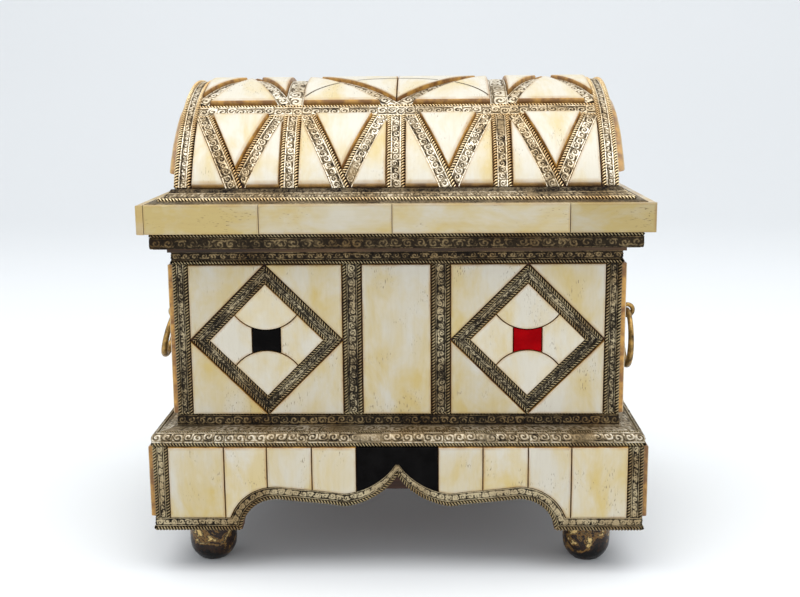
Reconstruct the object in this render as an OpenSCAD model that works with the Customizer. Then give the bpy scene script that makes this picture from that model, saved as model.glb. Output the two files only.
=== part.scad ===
// Inlaid wooden casket: a board carcass on a scalloped plinth with four turned feet, a domed lid on
// two rear hinges, and a skin of bone tiles between embossed metal bands edged with rope wire.
// Front is -Y, right is +X, up is +Z. The origin is on the floor under the middle of the casket.

/* [Body] */
// Width of the body over its metal bands
body_w = 196; // [190:1:200]
// Depth of the body over its metal bands
body_d = 142; // [138:1:146]
// Height of the body's top rim above the floor
body_top = 146.3; // [145:0.1:148]
// Height where the body leaves the plinth
body_foot = 65.8; // [65:0.1:67]
// Thickness of the carcass boards
board_t = 8; // [7:0.5:9]

/* [Plinth] */
// How far the plinth stands out from the body on every side
plinth_out = 10; // [9:0.5:11]
// Height of the plinth's lower edge, which is the height of the feet
foot_h = 20.5; // [20:0.5:22]
// Height of the plinth's top edge
plinth_top = 64.5; // [64:0.1:65]
// Largest diameter of a turned foot
foot_dia = 21.6; // [20:0.2:23]
// Inset of each foot's centre from the plinth's outer faces
foot_inset = 21.6; // [20:0.2:23]

/* [Lid] */
// How far the lid's rim stands out from the body on every side
rim_out = 12; // [11:0.5:12.5]
// Height of the rim's lower edge
rim_low = 153.3; // [153:0.1:154]
// Height of the rim's upper edge
rim_high = 165.3; // [165:0.1:166]
// How far the moulding under the rim stands out from the body
moulding_out = 7.5; // [7:0.5:8]
// Radius of the dome over its metal bands
dome_r = 75; // [74.5:0.1:75.5]
// Half the dome's width over its edge bands
dome_half_w = 96; // [95:0.5:96.5]
// Height where the dome meets the flare around it
dome_foot = 171.3; // [171:0.1:172]
// Half the dome's depth where it meets the flare
dome_half_d = 69; // [68.5:0.1:69.5]

/* [Inlay] */
// Thickness of the embossed metal bands
band_t = 1.2; // [1:0.1:1.4]
// How far the flat bone tiles stand proud of the bands
tile_proud = 1.2; // [0.8:0.1:1.5]
// How far the bone slabs of the narrow sides stand proud of the bands
side_proud = 2.1; // [1.5:0.1:2.2]
// How far the dome's tiles stand proud of the bands
dome_tile_proud = 2.3; // [2:0.1:2.6]
// How far the bone plates of the dome's ends stand proud of the bands
end_proud = 4.4; // [3:0.1:4.6]
// Diameter of the rope wire
wire_d = 1.8; // [1.6:0.1:2]
// Width of a band with a rope wire along both edges
strip_w = 8.3; // [8:0.1:8.6]
// Joint left between neighbouring tiles
joint_w = 0.3; // [0.2:0.05:0.5]

/* [Handles] */
// Height of the ring handles' pivots
handle_z = 104; // [102:0.5:106]
// Distance of each pivot from the casket's centre line
handle_x = 112.7; // [112:0.1:113.5]
// Centre line radius of the left ring
left_ring_r = 11.4; // [11:0.1:12]
// Centre line radius of the right ring
right_ring_r = 13.7; // [13:0.1:14]
// Diameter of the ring wire
ring_wire = 2.9; // [2.6:0.1:2.9]
// Outward tilt at which the left ring rests
left_tilt = 15; // [0:0.5:15]

/* [Hinges] */
// Width of a hinge
hinge_w = 24; // [20:1:30]
// Distance of each hinge from the centre line
hinge_x = 57; // [50:1:60]
// Diameter of a hinge pin
pin_d = 2.2; // [2:0.1:2.4]

/* [Hidden] */
$fn = 64;
eps = 0.05;
bone_colour = [0.86, 0.82, 0.70];
metal_colour = [0.56, 0.52, 0.44];
wire_colour = [0.38, 0.35, 0.30];
wood_colour = [0.36, 0.22, 0.12];
black_colour = [0.06, 0.06, 0.07];
red_colour = [0.62, 0.03, 0.05];
brass_colour = [0.55, 0.40, 0.20];

// Body: W and D are half sizes over the bands, BW and BD half sizes of the bare boards
W = body_w / 2;
D = body_d / 2;
BW = W - band_t;
BD = D - band_t;
edging_h = 2;
top_band_h = 5.6;
bottom_band_h = 5.6;
panel_low = body_foot + bottom_band_h;
panel_high = body_top - edging_h - top_band_h;
panel_mid = (panel_low + panel_high) / 2;
diamond_r = (panel_high - panel_low) / 2;
diamond_x = 57.3;
corner_w = 7;
frame_w = 6;
inner_r = diamond_r - frame_w * sqrt(2);
centre_half = 6.4;
arc_sag = 4.6;
arc_r = 17.3;
strip_x = 19.4;
side_strip_y = diamond_r + strip_w / 2 + joint_w;

// Plinth
PW = W + plinth_out;
PD = D + plinth_out;
plinth_t = 8;
peak_z = 48;
floor_t = 12;
floor_low = plinth_top - floor_t;
rail_low = peak_z - 11;
rail_t = 10;
foot_cone_h = 5;
foot_shoulder_h = 2;
dowel_d = 8;
dowel_l = 20;
plinth_band_h = 4.3;
leg_x = 69.5;
lobe_r = 15.5;
lobe_z = 19.5;
waist_x = 24;
waist_z = 31.7;
scallop_w = 6;
side_leg = leg_x * PD / PW;
black_half = 18;
plinth_joints = [37.6, 57.4, 76.3];
side_joints = [27, 44, 61.5];

// Lid
RW = W + rim_out;
RD = D + rim_out;
rim_bone_t = 3.4;
flare_h = 5.6;
MW = W + moulding_out;
MD = D + moulding_out;
dome_z = dome_foot - sqrt(pow(dome_r, 2) - pow(dome_half_d, 2));
vault_r = dome_r - band_t;
vault_t = 8;
vault_half_w = dome_half_w - band_t;
tile_r = dome_r + dome_tile_proud;
frame_hole_w = 86;
frame_hole_d = 60;
foot_angle = asin((dome_foot - dome_z) / dome_r);
row_split = 55.4;
row_half = 2.8;
upper_start = row_split + row_half + 0.6;
lower_end = row_split - row_half;
edge_w = 7.2;
column_x = 46.2;
column_w = 8;
v_foot = 4.3;
v_slope = 0.42;
v_width = 6.9;
v_band = 5.6;
edge_in = dome_half_w - edge_w + wire_d + eps;
edge_out = dome_half_w - wire_d - eps;
end_tile_r = dome_r - 7.4;
end_low = rim_high + flare_h + 6;
top_arc_r = 50;
top_arc_y = 63;

// Handles: an eye at the end of a stepped boss on each side
eye_r = 2.75;
eye_wire = 2.2;
boss_l = 6.4;

// Hinges: the pins lie below the lid's overhang, behind the body
leaf_y = D + tile_proud + 0.05;
hinge_y = leaf_y + 3;
hinge_z = body_top - 3.2;
leaf_t = 1.2;
leaf_h = 17;
barrel_r = 2.3;
knuckle = hinge_w / 3;
screw_r = 1.3;
screw_l = 7;
screw_across = [-7, 7];
screw_down = [8, 14];
lid_screw_z = body_top + 2.6;

// Pieces of geometry used again and again

// Turns a part built on the front (facing -Y) to one of the four sides
module on_side(side) {
    rotate([0, 0, side == "front" ? 0 : side == "right" ? 90 : side == "back" ? 180 : -90]) children();
}

// Raises a flat outline (x across, y up) outward from the plane at distance d from the centre
module raised(d, t) {
    translate([0, -d, 0]) rotate([90, 0, 0]) linear_extrude(t) children();
}

// A mitred ring round the casket from one profile (x outward from the half sizes w and d, y up)
module mitred_ring(w, d, inner, outer) {
    for (side = ["front", "right", "back", "left"]) {
        across = (side == "front" || side == "back") ? w : d;
        out = (side == "front" || side == "back") ? d : w;
        on_side(side) intersection() {
            translate([-across - outer, -out, 0]) rotate([90, 0, 90])
                linear_extrude(2 * (across + outer)) mirror([1, 0]) children();
            linear_extrude(300) polygon([
                [-across - outer, -out - outer], [across + outer, -out - outer],
                [across - inner, -out + inner], [-across + inner, -out + inner]
            ]);
        }
    }
}

// A round wire between two points given as (across, up) on the front plane at distance d
module flat_wire(a, b, d) {
    run = b - a;
    translate([a[0], -d + wire_d / 2, a[1]]) rotate([0, 90 - atan2(run[1], run[0]), 0])
        cylinder(d = wire_d, h = norm(run));
}

// Rectangle from one corner to the opposite one
module rect(low, high) {
    translate(low) square(high - low);
}

// Diamond with equal half diagonals r
module diamond(r) {
    polygon([[0, -r], [r, 0], [0, r], [-r, 0]]);
}

// The four corner triangles round a diamond, inside a square of half size r
module corner_triangles(r) {
    gap = joint_w * sqrt(2);
    for (sx = [-1, 1], sy = [-1, 1])
        polygon([[sx * r, sy * gap], [sx * r, sy * r], [sx * gap, sy * r]]);
}

// Bone around a diamond's centre: caps above and below two arcs, and a piece on either side
module diamond_bone_outline(middle) {
    difference() {
        diamond(inner_r);
        for (s = [-1, 1]) {
            translate([0, s * (arc_sag + arc_r)]) difference() {
                circle(arc_r + joint_w / 2);
                circle(arc_r - joint_w / 2);
            }
        }
        if (middle) difference() {
            square([2 * centre_half, 4 * arc_sag], center = true);
            for (s = [-1, 1]) translate([0, s * (arc_sag + arc_r)]) circle(arc_r);
        }
    }
}

// The dark or red piece at a diamond's centre
module centre_outline() {
    difference() {
        square([2 * centre_half - 2 * joint_w, 4 * arc_sag], center = true);
        for (s = [-1, 1]) translate([0, s * (arc_sag + arc_r)]) circle(arc_r + joint_w / 2);
    }
}

// Carcass

module front_board() {
    color(wood_colour) raised(BD - board_t, board_t) rect([-BW, plinth_top], [BW, body_top]);
}

module back_board() {
    color(wood_colour) on_side("back") raised(BD - board_t, board_t)
        rect([-BW, plinth_top], [BW, body_top]);
}

module side_board(side) {
    color(wood_colour) on_side(side) raised(BW - board_t, board_t)
        rect([-BD + board_t, plinth_top], [BD - board_t, body_top]);
}

// The floor of the box, with a rail under its front and back edges between the corner blocks
module bottom_board() {
    rail_half = PW - plinth_t - 28;
    color(wood_colour) {
        translate([-PW + plinth_t, -PD + plinth_t, floor_low])
            cube([2 * (PW - plinth_t), 2 * (PD - plinth_t), floor_t]);
        for (s = [-1, 1]) translate([-rail_half, s * (PD - plinth_t - rail_t / 2) - rail_t / 2, rail_low])
            cube([2 * rail_half, rail_t, floor_low - rail_low]);
    }
}

// Plinth

// Opening between two legs: a round lobe beside each leg, a waist, and a pointed arch in the middle
module arch_opening(leg, grow = 0) {
    squeeze = leg / leg_x;
    lobe = leg - lobe_r;
    waist = waist_x * squeeze;
    for (s = [-1, 1]) translate([s * lobe, lobe_z]) circle(lobe_r + grow);
    polygon([
        [-lobe, 0], [-lobe, lobe_z + lobe_r + grow],
        [-waist - 4, waist_z + 0.7 + grow], [-waist, waist_z + grow],
        [waist, waist_z + grow], [waist + 4, waist_z + 0.7 + grow],
        [lobe, lobe_z + lobe_r + grow], [lobe, 0]
    ]);
    difference() {
        polygon([
            [-waist, waist_z + grow - 0.2], [waist, waist_z + grow - 0.2],
            [waist, waist_z + grow + 0.2], [0, peak_z + grow * 0.8], [-waist, waist_z + grow + 0.2]
        ]);
        for (s = [-1, 1]) translate([s * (waist + 2.6), waist_z + grow + 31.2 * squeeze])
            circle(31.3 * squeeze);
    }
}

module apron_outline(half, leg) {
    difference() {
        rect([-half, foot_h], [half, plinth_top]);
        arch_opening(leg);
    }
}

module plinth_apron(side) {
    wide = side == "front" || side == "back";
    color(wood_colour) on_side(side) raised((wide ? PD : PW) - plinth_t, plinth_t - band_t)
        apron_outline(wide ? PW - band_t : PD - plinth_t, wide ? leg_x : side_leg);
}

module plinth_flare() {
    color(metal_colour) mitred_ring(W, D, band_t + 4, plinth_out + 1) polygon([
        [-band_t, plinth_top], [plinth_out, plinth_top], [plinth_out, plinth_top + 0.5],
        [plinth_out / 2, plinth_top + 0.8], [0.2, body_foot + 0.4], [-band_t, body_foot + 0.4]
    ]);
}

module foot(corner) {
    sx = corner == "front_left" || corner == "back_left" ? -1 : 1;
    sy = corner == "front_left" || corner == "front_right" ? -1 : 1;
    color(brass_colour) translate([sx * (PW - foot_inset), sy * (PD - foot_inset), 0]) {
        cylinder(d1 = foot_dia - 10, d2 = foot_dia - 1, h = foot_cone_h);
        translate([0, 0, foot_cone_h]) cylinder(d1 = foot_dia - 1, d2 = foot_dia, h = foot_shoulder_h);
        translate([0, 0, foot_cone_h + foot_shoulder_h])
            cylinder(d = foot_dia, h = foot_h - foot_cone_h - foot_shoulder_h);
        translate([0, 0, foot_h]) cylinder(d = dowel_d, h = dowel_l);
    }
}

// A glue block in each inner corner of the plinth, bored for its foot's dowel
module corner_blocks() {
    block = 27;
    color(wood_colour) for (sx = [-1, 1], sy = [-1, 1]) scale([sx, sy, 1]) difference() {
        translate([PW - plinth_t - block, PD - plinth_t - block, foot_h])
            cube([block, block, floor_low - foot_h]);
        translate([PW - foot_inset, PD - foot_inset, foot_h - 1])
            cylinder(d = dowel_d + 0.1, h = dowel_l + 1.5);
    }
}

// Skin of the body

module body_top_edging() {
    color(wood_colour) mitred_ring(W, D, 4, 4)
        rect([-band_t, body_top - edging_h], [1.4, body_top]);
}

module body_top_band() {
    color(metal_colour) mitred_ring(W, D, 4, 4)
        rect([-band_t, panel_high + wire_d + eps], [0, body_top - edging_h]);
}

module body_bottom_band() {
    color(metal_colour) mitred_ring(W, D, 4, 4) rect([-band_t, body_foot + 0.4], [0, panel_low - eps]);
}

module body_corner_strips() {
    inside = corner_w - wire_d - eps;
    outside = wire_d + eps;
    tall = panel_high - panel_low;
    color(metal_colour) for (sx = [-1, 1], sy = [-1, 1]) scale([sx, sy, 1]) {
        translate([W - inside, D - band_t, panel_low]) cube([inside - outside, band_t, tall]);
    }
}

module strip_band(x) {
    rect([x - strip_w / 2 + wire_d + eps, panel_low], [x + strip_w / 2 - wire_d - eps, panel_high]);
}

module body_strips() {
    color(metal_colour) {
        for (side = ["front", "back"], s = [-1, 1])
            on_side(side) raised(BD, band_t) strip_band(s * strip_x);
        for (side = ["left", "right"], s = [-1, 1])
            on_side(side) raised(BW, band_t) strip_band(s * side_strip_y);
    }
}

module diamond_frame_outline() {
    difference() {
        diamond(diamond_r);
        diamond(inner_r + (wire_d + 2 * eps) * sqrt(2));
    }
}

module diamond_frames() {
    color(metal_colour) {
        for (side = ["front", "back"], s = [-1, 1])
            on_side(side) raised(BD, band_t) translate([s * diamond_x, panel_mid]) diamond_frame_outline();
        for (side = ["left", "right"])
            on_side(side) raised(BW, band_t) translate([0, panel_mid]) diamond_frame_outline();
    }
}

// Rope wires: four along the inside of each diamond frame and straight wires along the strips
module diamond_wires(x, d) {
    reach = inner_r + wire_d / 2 * sqrt(2);
    trim = (wire_d / 2 + 2 * eps) / (reach * sqrt(2));
    for (a = [0 : 90 : 270]) {
        from = [reach * cos(a), reach * sin(a)];
        to = [reach * cos(a + 90), reach * sin(a + 90)];
        middle = [x, panel_mid];
        flat_wire(middle + from + trim * (to - from), middle + to - trim * (to - from), d);
    }
}

module upright_wires(x, d) {
    for (s = [-1, 1]) {
        at = x + s * (strip_w - wire_d) / 2;
        flat_wire([at, panel_low + eps], [at, panel_high - eps], d);
    }
}

module body_wires() {
    level = panel_high + wire_d / 2;
    color(wire_colour) {
        for (side = ["front", "back"], s = [-1, 1]) on_side(side) {
            diamond_wires(s * diamond_x, BD + wire_d);
            upright_wires(s * strip_x, BD + wire_d);
        }
        for (side = ["left", "right"], s = [-1, 1])
            on_side(side) upright_wires(s * side_strip_y, BW + wire_d);
        for (side = ["left", "right"]) on_side(side) diamond_wires(0, BW + wire_d);
        for (side = ["front", "back"]) on_side(side) {
            flat_wire([-W + 3, level], [W - 3, level], BD + wire_d);
            for (s = [-1, 1], at = [wire_d / 2, corner_w - wire_d / 2])
                flat_wire([s * (W - at), panel_low + eps], [s * (W - at), panel_high - eps], BD + wire_d);
        }
        for (side = ["left", "right"]) on_side(side)
            flat_wire([-D + 3, level], [D - 3, level], BW + wire_d);
    }
}

// Bone tiles of the body, in the local plane of a wide side
module wide_side_tiles() {
    for (s = [-1, 1]) translate([s * diamond_x, panel_mid]) corner_triangles(diamond_r);
    rect([-strip_x + strip_w / 2 + joint_w, panel_low], [strip_x - strip_w / 2 - joint_w, panel_high]);
}

// Bone tiles of the body, in the local plane of a narrow side
module narrow_side_tiles() {
    translate([0, panel_mid]) corner_triangles(diamond_r);
    for (s = [-1, 1]) {
        low = side_strip_y + strip_w / 2 + joint_w;
        high = BD - eps;
        rect([min(s * low, s * high), panel_low], [max(s * low, s * high), panel_high]);
    }
}

module bone_front() {
    color(bone_colour) raised(BD, band_t + tile_proud) wide_side_tiles();
}

module bone_back() {
    color(bone_colour) on_side("back") raised(BD, band_t + tile_proud) wide_side_tiles();
}

module bone_side(side) {
    color(bone_colour) on_side(side) raised(BW, band_t + side_proud) narrow_side_tiles();
}

module diamond_bone() {
    color(bone_colour) {
        for (side = ["front", "back"], s = [-1, 1]) on_side(side) raised(BD, band_t + tile_proud)
            translate([s * diamond_x, panel_mid]) diamond_bone_outline(true);
        for (side = ["left", "right"]) on_side(side) raised(BW, band_t + side_proud)
            translate([0, panel_mid]) difference() {
                diamond_bone_outline(false);
                translate([0, handle_z - panel_mid]) circle(7.5);
            }
    }
}

module centre_piece(side, x) {
    on_side(side) raised(BD, band_t + tile_proud) translate([x, panel_mid]) centre_outline();
}

module diamond_centres_black() {
    color(black_colour) {
        centre_piece("front", -diamond_x);
        centre_piece("back", -diamond_x);
    }
}

module diamond_centres_red() {
    color(red_colour) {
        centre_piece("front", diamond_x);
        centre_piece("back", diamond_x);
    }
}

// Skin of the plinth

plinth_tile_top = plinth_top - 0.4 - plinth_band_h - 0.6;
plinth_tile_low = foot_h + 6.2;

// Tiles between two joints across the plinth, above the scalloped band
module plinth_tile(from, to, leg) {
    difference() {
        rect([from + joint_w / 2, plinth_tile_low], [to - joint_w / 2, plinth_tile_top]);
        arch_opening(leg, scallop_w);
    }
}

module plinth_tile_row(joints, end, leg) {
    edges = concat([black_half * leg / leg_x], joints, [end]);
    for (i = [0 : len(edges) - 2]) {
        plinth_tile(edges[i], edges[i + 1], leg);
        plinth_tile(-edges[i + 1], -edges[i], leg);
    }
}

module plinth_tiles_wide(side) {
    color(bone_colour) on_side(side) raised(PD - band_t, band_t + tile_proud)
        plinth_tile_row(plinth_joints, PW - corner_w, leg_x);
}

module plinth_tiles_sides() {
    color(bone_colour) for (side = ["left", "right"]) on_side(side)
        raised(PW - band_t, band_t + side_proud) plinth_tile_row(side_joints, PD - band_t - eps, side_leg);
}

module plinth_tiles_black() {
    color(black_colour) {
        for (side = ["front", "back"]) on_side(side) raised(PD - band_t, band_t + tile_proud)
            plinth_tile(-black_half, black_half, leg_x);
        for (side = ["left", "right"]) on_side(side) raised(PW - band_t, band_t + side_proud)
            plinth_tile(-black_half * side_leg / leg_x, black_half * side_leg / leg_x, side_leg);
    }
}

module plinth_bands() {
    color(metal_colour) {
        mitred_ring(PW, PD, 4, 4)
            rect([-band_t, plinth_tile_top + wire_d + 2 * eps], [0, plinth_top]);
        for (sx = [-1, 1], sy = [-1, 1]) scale([sx, sy, 1]) {
            inside = corner_w - wire_d - eps;
            outside = wire_d + eps;
            tall = plinth_tile_top - plinth_tile_low;
            translate([PW - inside, PD - band_t, plinth_tile_low]) cube([inside - outside, band_t, tall]);
        }
    }
}

module scallop_band_outline(half, leg) {
    intersection() {
        difference() {
            rect([-half, foot_h], [half, plinth_tile_top]);
            arch_opening(leg);
        }
        union() {
            arch_opening(leg, scallop_w - joint_w);
            rect([-half, foot_h + wire_d + eps], [half, plinth_tile_low - joint_w]);
        }
    }
}

module plinth_scallop_bands() {
    color(metal_colour) {
        for (side = ["front", "back"]) on_side(side) raised(PD - band_t, band_t)
            scallop_band_outline(PW, leg_x);
        for (side = ["left", "right"]) on_side(side) raised(PW - band_t, band_t)
            scallop_band_outline(PD - band_t - eps, side_leg);
    }
}

module plinth_wires() {
    color(wire_colour) {
        level = plinth_tile_top + wire_d / 2 + eps;
        for (side = ["front", "back"]) on_side(side) {
            flat_wire([-PW + 3, level], [PW - 3, level], PD - band_t + wire_d);
            for (s = [-1, 1], at = [wire_d / 2, corner_w - wire_d / 2])
                flat_wire([s * (PW - at), plinth_tile_low], [s * (PW - at), plinth_tile_top - eps],
                    PD - band_t + wire_d);
            for (s = [-1, 1])
                flat_wire([s * (PW - 2), foot_h + wire_d / 2], [s * (leg_x + scallop_w), foot_h + wire_d / 2],
                    PD - band_t + wire_d);
        }
        for (side = ["left", "right"]) on_side(side) {
            flat_wire([-PD + 3, level], [PD - 3, level], PW - band_t + wire_d);
            for (s = [-1, 1])
                flat_wire([s * (PD - 2.2), foot_h + wire_d / 2],
                    [s * (side_leg + scallop_w), foot_h + wire_d / 2], PW - band_t + wire_d);
        }
    }
}

// Ring handles

module handle_plates() {
    plate = W + side_proud;
    color(metal_colour) for (s = [-1, 1]) scale([s, 1, 1]) translate([0, 0, handle_z]) {
        translate([BW, 0, 0]) rotate([0, 90, 0]) cylinder(r = 7.2, h = plate - BW);
        translate([plate, 0, 0]) rotate([0, 90, 0]) cylinder(r = 8.6, h = 1.2);
        translate([plate + 1.2, 0, 0]) rotate([0, 90, 0]) cylinder(r1 = 6, r2 = 3.4, h = 3);
        translate([plate + 4.2, 0, 0]) rotate([0, 90, 0]) cylinder(r = 2.6, h = boss_l - 4.2);
    }
}

module handle_eyes() {
    start = W + side_proud + boss_l;
    color(brass_colour) for (s = [-1, 1]) scale([s, 1, 1]) {
        translate([handle_x, 0, handle_z]) rotate([90, 0, 0]) rotate_extrude()
            translate([eye_r, 0]) circle(d = eye_wire);
        translate([start, 0, handle_z]) rotate([0, 90, 0])
            cylinder(d = eye_wire, h = handle_x - eye_r - start);
    }
}

module ring_handle(side) {
    s = side == "left" ? -1 : 1;
    r = side == "left" ? left_ring_r : right_ring_r;
    color(brass_colour) translate([s * handle_x, 0, handle_z]) rotate([0, side == "left" ? left_tilt : 0, 0])
        translate([0, 0, -r]) rotate([0, 90, 0]) rotate_extrude() translate([r, 0]) circle(d = ring_wire);
}

// Hinges: three knuckles on each, the outer two on the body's leaf

module barrel(x, length, r) {
    translate([x - length / 2, hinge_y, hinge_z]) rotate([0, 90, 0]) cylinder(r = r, h = length);
}

module knuckle_bore(x) {
    barrel(x, hinge_w + 2, pin_d / 2 + 0.06);
}

module hinge_body_leaves() {
    color(metal_colour) for (s = [-1, 1]) difference() {
        union() {
            translate([s * hinge_x - hinge_w / 2, leaf_y, hinge_z - leaf_h]) cube([hinge_w, leaf_t, leaf_h]);
            for (side = [-1, 1]) {
                barrel(s * hinge_x + side * knuckle, knuckle, barrel_r);
                translate([s * hinge_x + side * knuckle - knuckle / 2, leaf_y, hinge_z - barrel_r])
                    cube([knuckle, hinge_y - leaf_y, leaf_t]);
            }
        }
        knuckle_bore(s * hinge_x);
        translate([s * hinge_x - knuckle / 2 - 0.2, leaf_y - 1, hinge_z - 4]) cube([knuckle + 0.4, 8, 8]);
        for (x = screw_across, z = screw_down) translate([s * hinge_x + x, leaf_y - 1, hinge_z - z])
            rotate([-90, 0, 0]) cylinder(r = screw_r, h = 5);
    }
}

module hinge_lid_leaves() {
    level = body_top;
    color(metal_colour) for (s = [-1, 1]) difference() {
        union() {
            barrel(s * hinge_x, knuckle - 0.4, barrel_r);
            translate([s * hinge_x - knuckle / 2 + 0.2, hinge_y - 0.4, hinge_z])
                cube([knuckle - 0.4, leaf_t + 0.4, level - hinge_z]);
            translate([s * hinge_x - knuckle / 2 + 0.2, hinge_y - 0.4, level - leaf_t])
                cube([knuckle - 0.4, MD + 0.5 + leaf_t - hinge_y, leaf_t]);
            translate([s * hinge_x - knuckle / 2 + 0.2, MD + 0.1, level - leaf_t])
                cube([knuckle - 0.4, leaf_t, rim_low - wire_d - 0.2 - level + leaf_t]);
        }
        knuckle_bore(s * hinge_x);
        translate([s * hinge_x, MD - 1, lid_screw_z]) rotate([-90, 0, 0]) cylinder(r = screw_r, h = 5);
    }
}

module hinge_pins() {
    color(brass_colour) for (s = [-1, 1]) {
        barrel(s * hinge_x, hinge_w + 0.4, pin_d / 2);
        for (side = [-1, 1]) barrel(s * hinge_x + side * (hinge_w / 2 + 0.6), 1, pin_d / 2 + 0.5);
    }
}

// A screw whose shank runs forward into the wood from the outside of a leaf at y = 0
module screw() {
    rotate([-90, 0, 0]) {
        translate([0, 0, -screw_l]) cylinder(r = screw_r - 0.05, h = screw_l);
        cylinder(r1 = screw_r + 0.7, r2 = screw_r + 0.3, h = 0.6);
    }
}

module hinge_body_screws() {
    color(brass_colour) for (s = [-1, 1], x = screw_across, z = screw_down)
        translate([s * hinge_x + x, leaf_y + leaf_t, hinge_z - z]) screw();
}

module hinge_lid_screws() {
    color(brass_colour) for (s = [-1, 1]) translate([s * hinge_x, MD + 0.1 + leaf_t, lid_screw_z]) screw();
}

// Lid

module lid_frame() {
    color(wood_colour) difference() {
        union() {
            translate([-MW + band_t, -MD + band_t, body_top])
                cube([2 * (MW - band_t), 2 * (MD - band_t), rim_low - body_top]);
            translate([-RW + rim_bone_t, -RD + rim_bone_t, rim_low])
                cube([2 * (RW - rim_bone_t), 2 * (RD - rim_bone_t), rim_high - rim_low]);
        }
        translate([-frame_hole_w, -frame_hole_d, body_top - 1])
            cube([2 * frame_hole_w, 2 * frame_hole_d, rim_high - body_top + 2]);
    }
}

// Everything of the dome above the lid's frame
module above_frame(level) {
    translate([-150, -150, level]) cube([300, 300, 100]);
}

module dome_rod(r, from, to) {
    translate([from, 0, dome_z]) rotate([0, 90, 0]) cylinder(r = r, h = to - from);
}

module dome_shell(inner, outer, from, to) {
    difference() {
        dome_rod(outer, from, to);
        dome_rod(inner, from - 1, to + 1);
    }
}

module lid_vault() {
    color(wood_colour) intersection() {
        dome_shell(vault_r - vault_t, vault_r, -vault_half_w, vault_half_w);
        above_frame(rim_high);
    }
}

module lid_end(side) {
    from = side == "left" ? -vault_half_w : vault_half_w - vault_t;
    color(wood_colour) intersection() {
        dome_rod(vault_r - vault_t, from, from + vault_t);
        above_frame(rim_high);
    }
}

// Strips of bone round the rim, with the joints of each side given from left to right; each side's
// left end butts against the next side, whose end grain shows
module rim_strip(side, half, out, joints) {
    edges = concat([rim_bone_t - half], joints, [half]);
    for (i = [0 : len(edges) - 2]) on_side(side) raised(out, rim_bone_t - eps)
        rect([edges[i] + joint_w / 2, rim_low + 0.05], [edges[i + 1] - joint_w / 2, rim_high + 0.6]);
}

module rim_bone() {
    front_out = RD - rim_bone_t + eps;
    side_out = RW - rim_bone_t + eps;
    color(bone_colour) {
        rim_strip("front", RW, front_out, [-57.7, -1.2, 73.7]);
        rim_strip("back", RW, front_out, [-60, 8, 66]);
        rim_strip("left", RD, side_out, [-20, 34]);
        rim_strip("right", RD, side_out, [-31, 22]);
    }
}

module rim_moulding() {
    color(metal_colour) mitred_ring(MW, MD, 4, 4) rect([-band_t, body_top], [0, rim_low - wire_d - eps]);
}

// Sloping metal cover between the dome and the rim: a step at the dome, then a hollow slope
module lid_flare() {
    slope_w = RW - rim_bone_t - vault_half_w;
    slope_d = RD - rim_bone_t - dome_half_d;
    color(metal_colour) difference() {
        for (level = [0 : 3]) {
            share = [1, 0.72, 0.45, 0.22][level];
            high = [0.7, 1.6, 3.2, flare_h][level];
            translate([-vault_half_w - slope_w * share, -dome_half_d - slope_d * share, rim_high])
                cube([2 * (vault_half_w + slope_w * share), 2 * (dome_half_d + slope_d * share), high]);
        }
        dome_rod(vault_r + eps, -vault_half_w - eps, vault_half_w + eps);
        translate([-vault_half_w - eps, -60, rim_high - 1]) cube([2 * vault_half_w + 2 * eps, 120, 20]);
    }
}

// A wedge of the dome from one angle to another above the front horizon, standing out to radius 80
module dome_wedge(low, high, from, to) {
    reach = 90;
    tip = reach / cos((high - low) / 2);
    middle = (low + high) / 2;
    translate([from, 0, dome_z]) rotate([90, 0, 90]) linear_extrude(to - from) mirror([1, 0]) polygon([
        [0, 0], [reach * cos(low), reach * sin(low)],
        [tip * cos(middle), tip * sin(middle)],
        [reach * cos(high), reach * sin(high)]
    ]);
}

// Raises an outline drawn on the plane that touches the dome at an angle: x across, y up the dome
module on_dome(angle) {
    translate([0, 0, dome_z]) rotate([90 - angle, 0, 0]) translate([0, 0, 20])
        linear_extrude(70) children();
}

lower_mid = (foot_angle + 1 + lower_end) / 2;

// Height on the touching plane of the dome's surface at an angle
function up(angle, mid) = dome_r * tan(angle - mid);

row_low = up(foot_angle + 0.8, lower_mid);
row_high = up(lower_end, lower_mid);
cell_half = (column_x - column_w) / 2;
lower_cells = [-1.5 * column_x, -0.5 * column_x, 0.5 * column_x, 1.5 * column_x];

rise = row_high - row_low;
v_across = v_width * norm([1, v_slope]);
v_tip = row_low + (v_across - v_foot) / v_slope;

// A band in the shape of a V: its outer edges run from near the middle of the cell's foot to its top
module v_outline(x, half) {
    intersection() {
        rect([x - half, row_low], [x + half, row_high]);
        for (s = [-1, 1]) polygon([
            [x + s * v_foot, row_low], [x + s * (v_foot + v_slope * rise), row_high],
            [x + s * (v_foot - v_across + v_slope * rise), row_high], [x + s * (v_foot - v_across), row_low]
        ]);
    }
}

module dome_strip_set() {
    color(metal_colour) {
        for (x = lower_cells) intersection() {
            dome_shell(vault_r, dome_r, -90, 90);
            on_dome(lower_mid) v_outline(x, cell_half);
        }
        for (x = [-column_x, 0, column_x]) intersection() {
            dome_shell(vault_r, dome_r, x - column_w / 2, x + column_w / 2);
            dome_wedge(foot_angle, lower_end - eps, x - column_w, x + column_w);
        }
        intersection() {
            dome_shell(vault_r, dome_r, -dome_half_w + edge_w + eps, dome_half_w - edge_w - eps);
            dome_wedge(lower_end, upper_start, -100, 100);
        }
    }
}

top_mid = 90;
top_low = up(upper_start + 0.2, top_mid);

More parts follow.
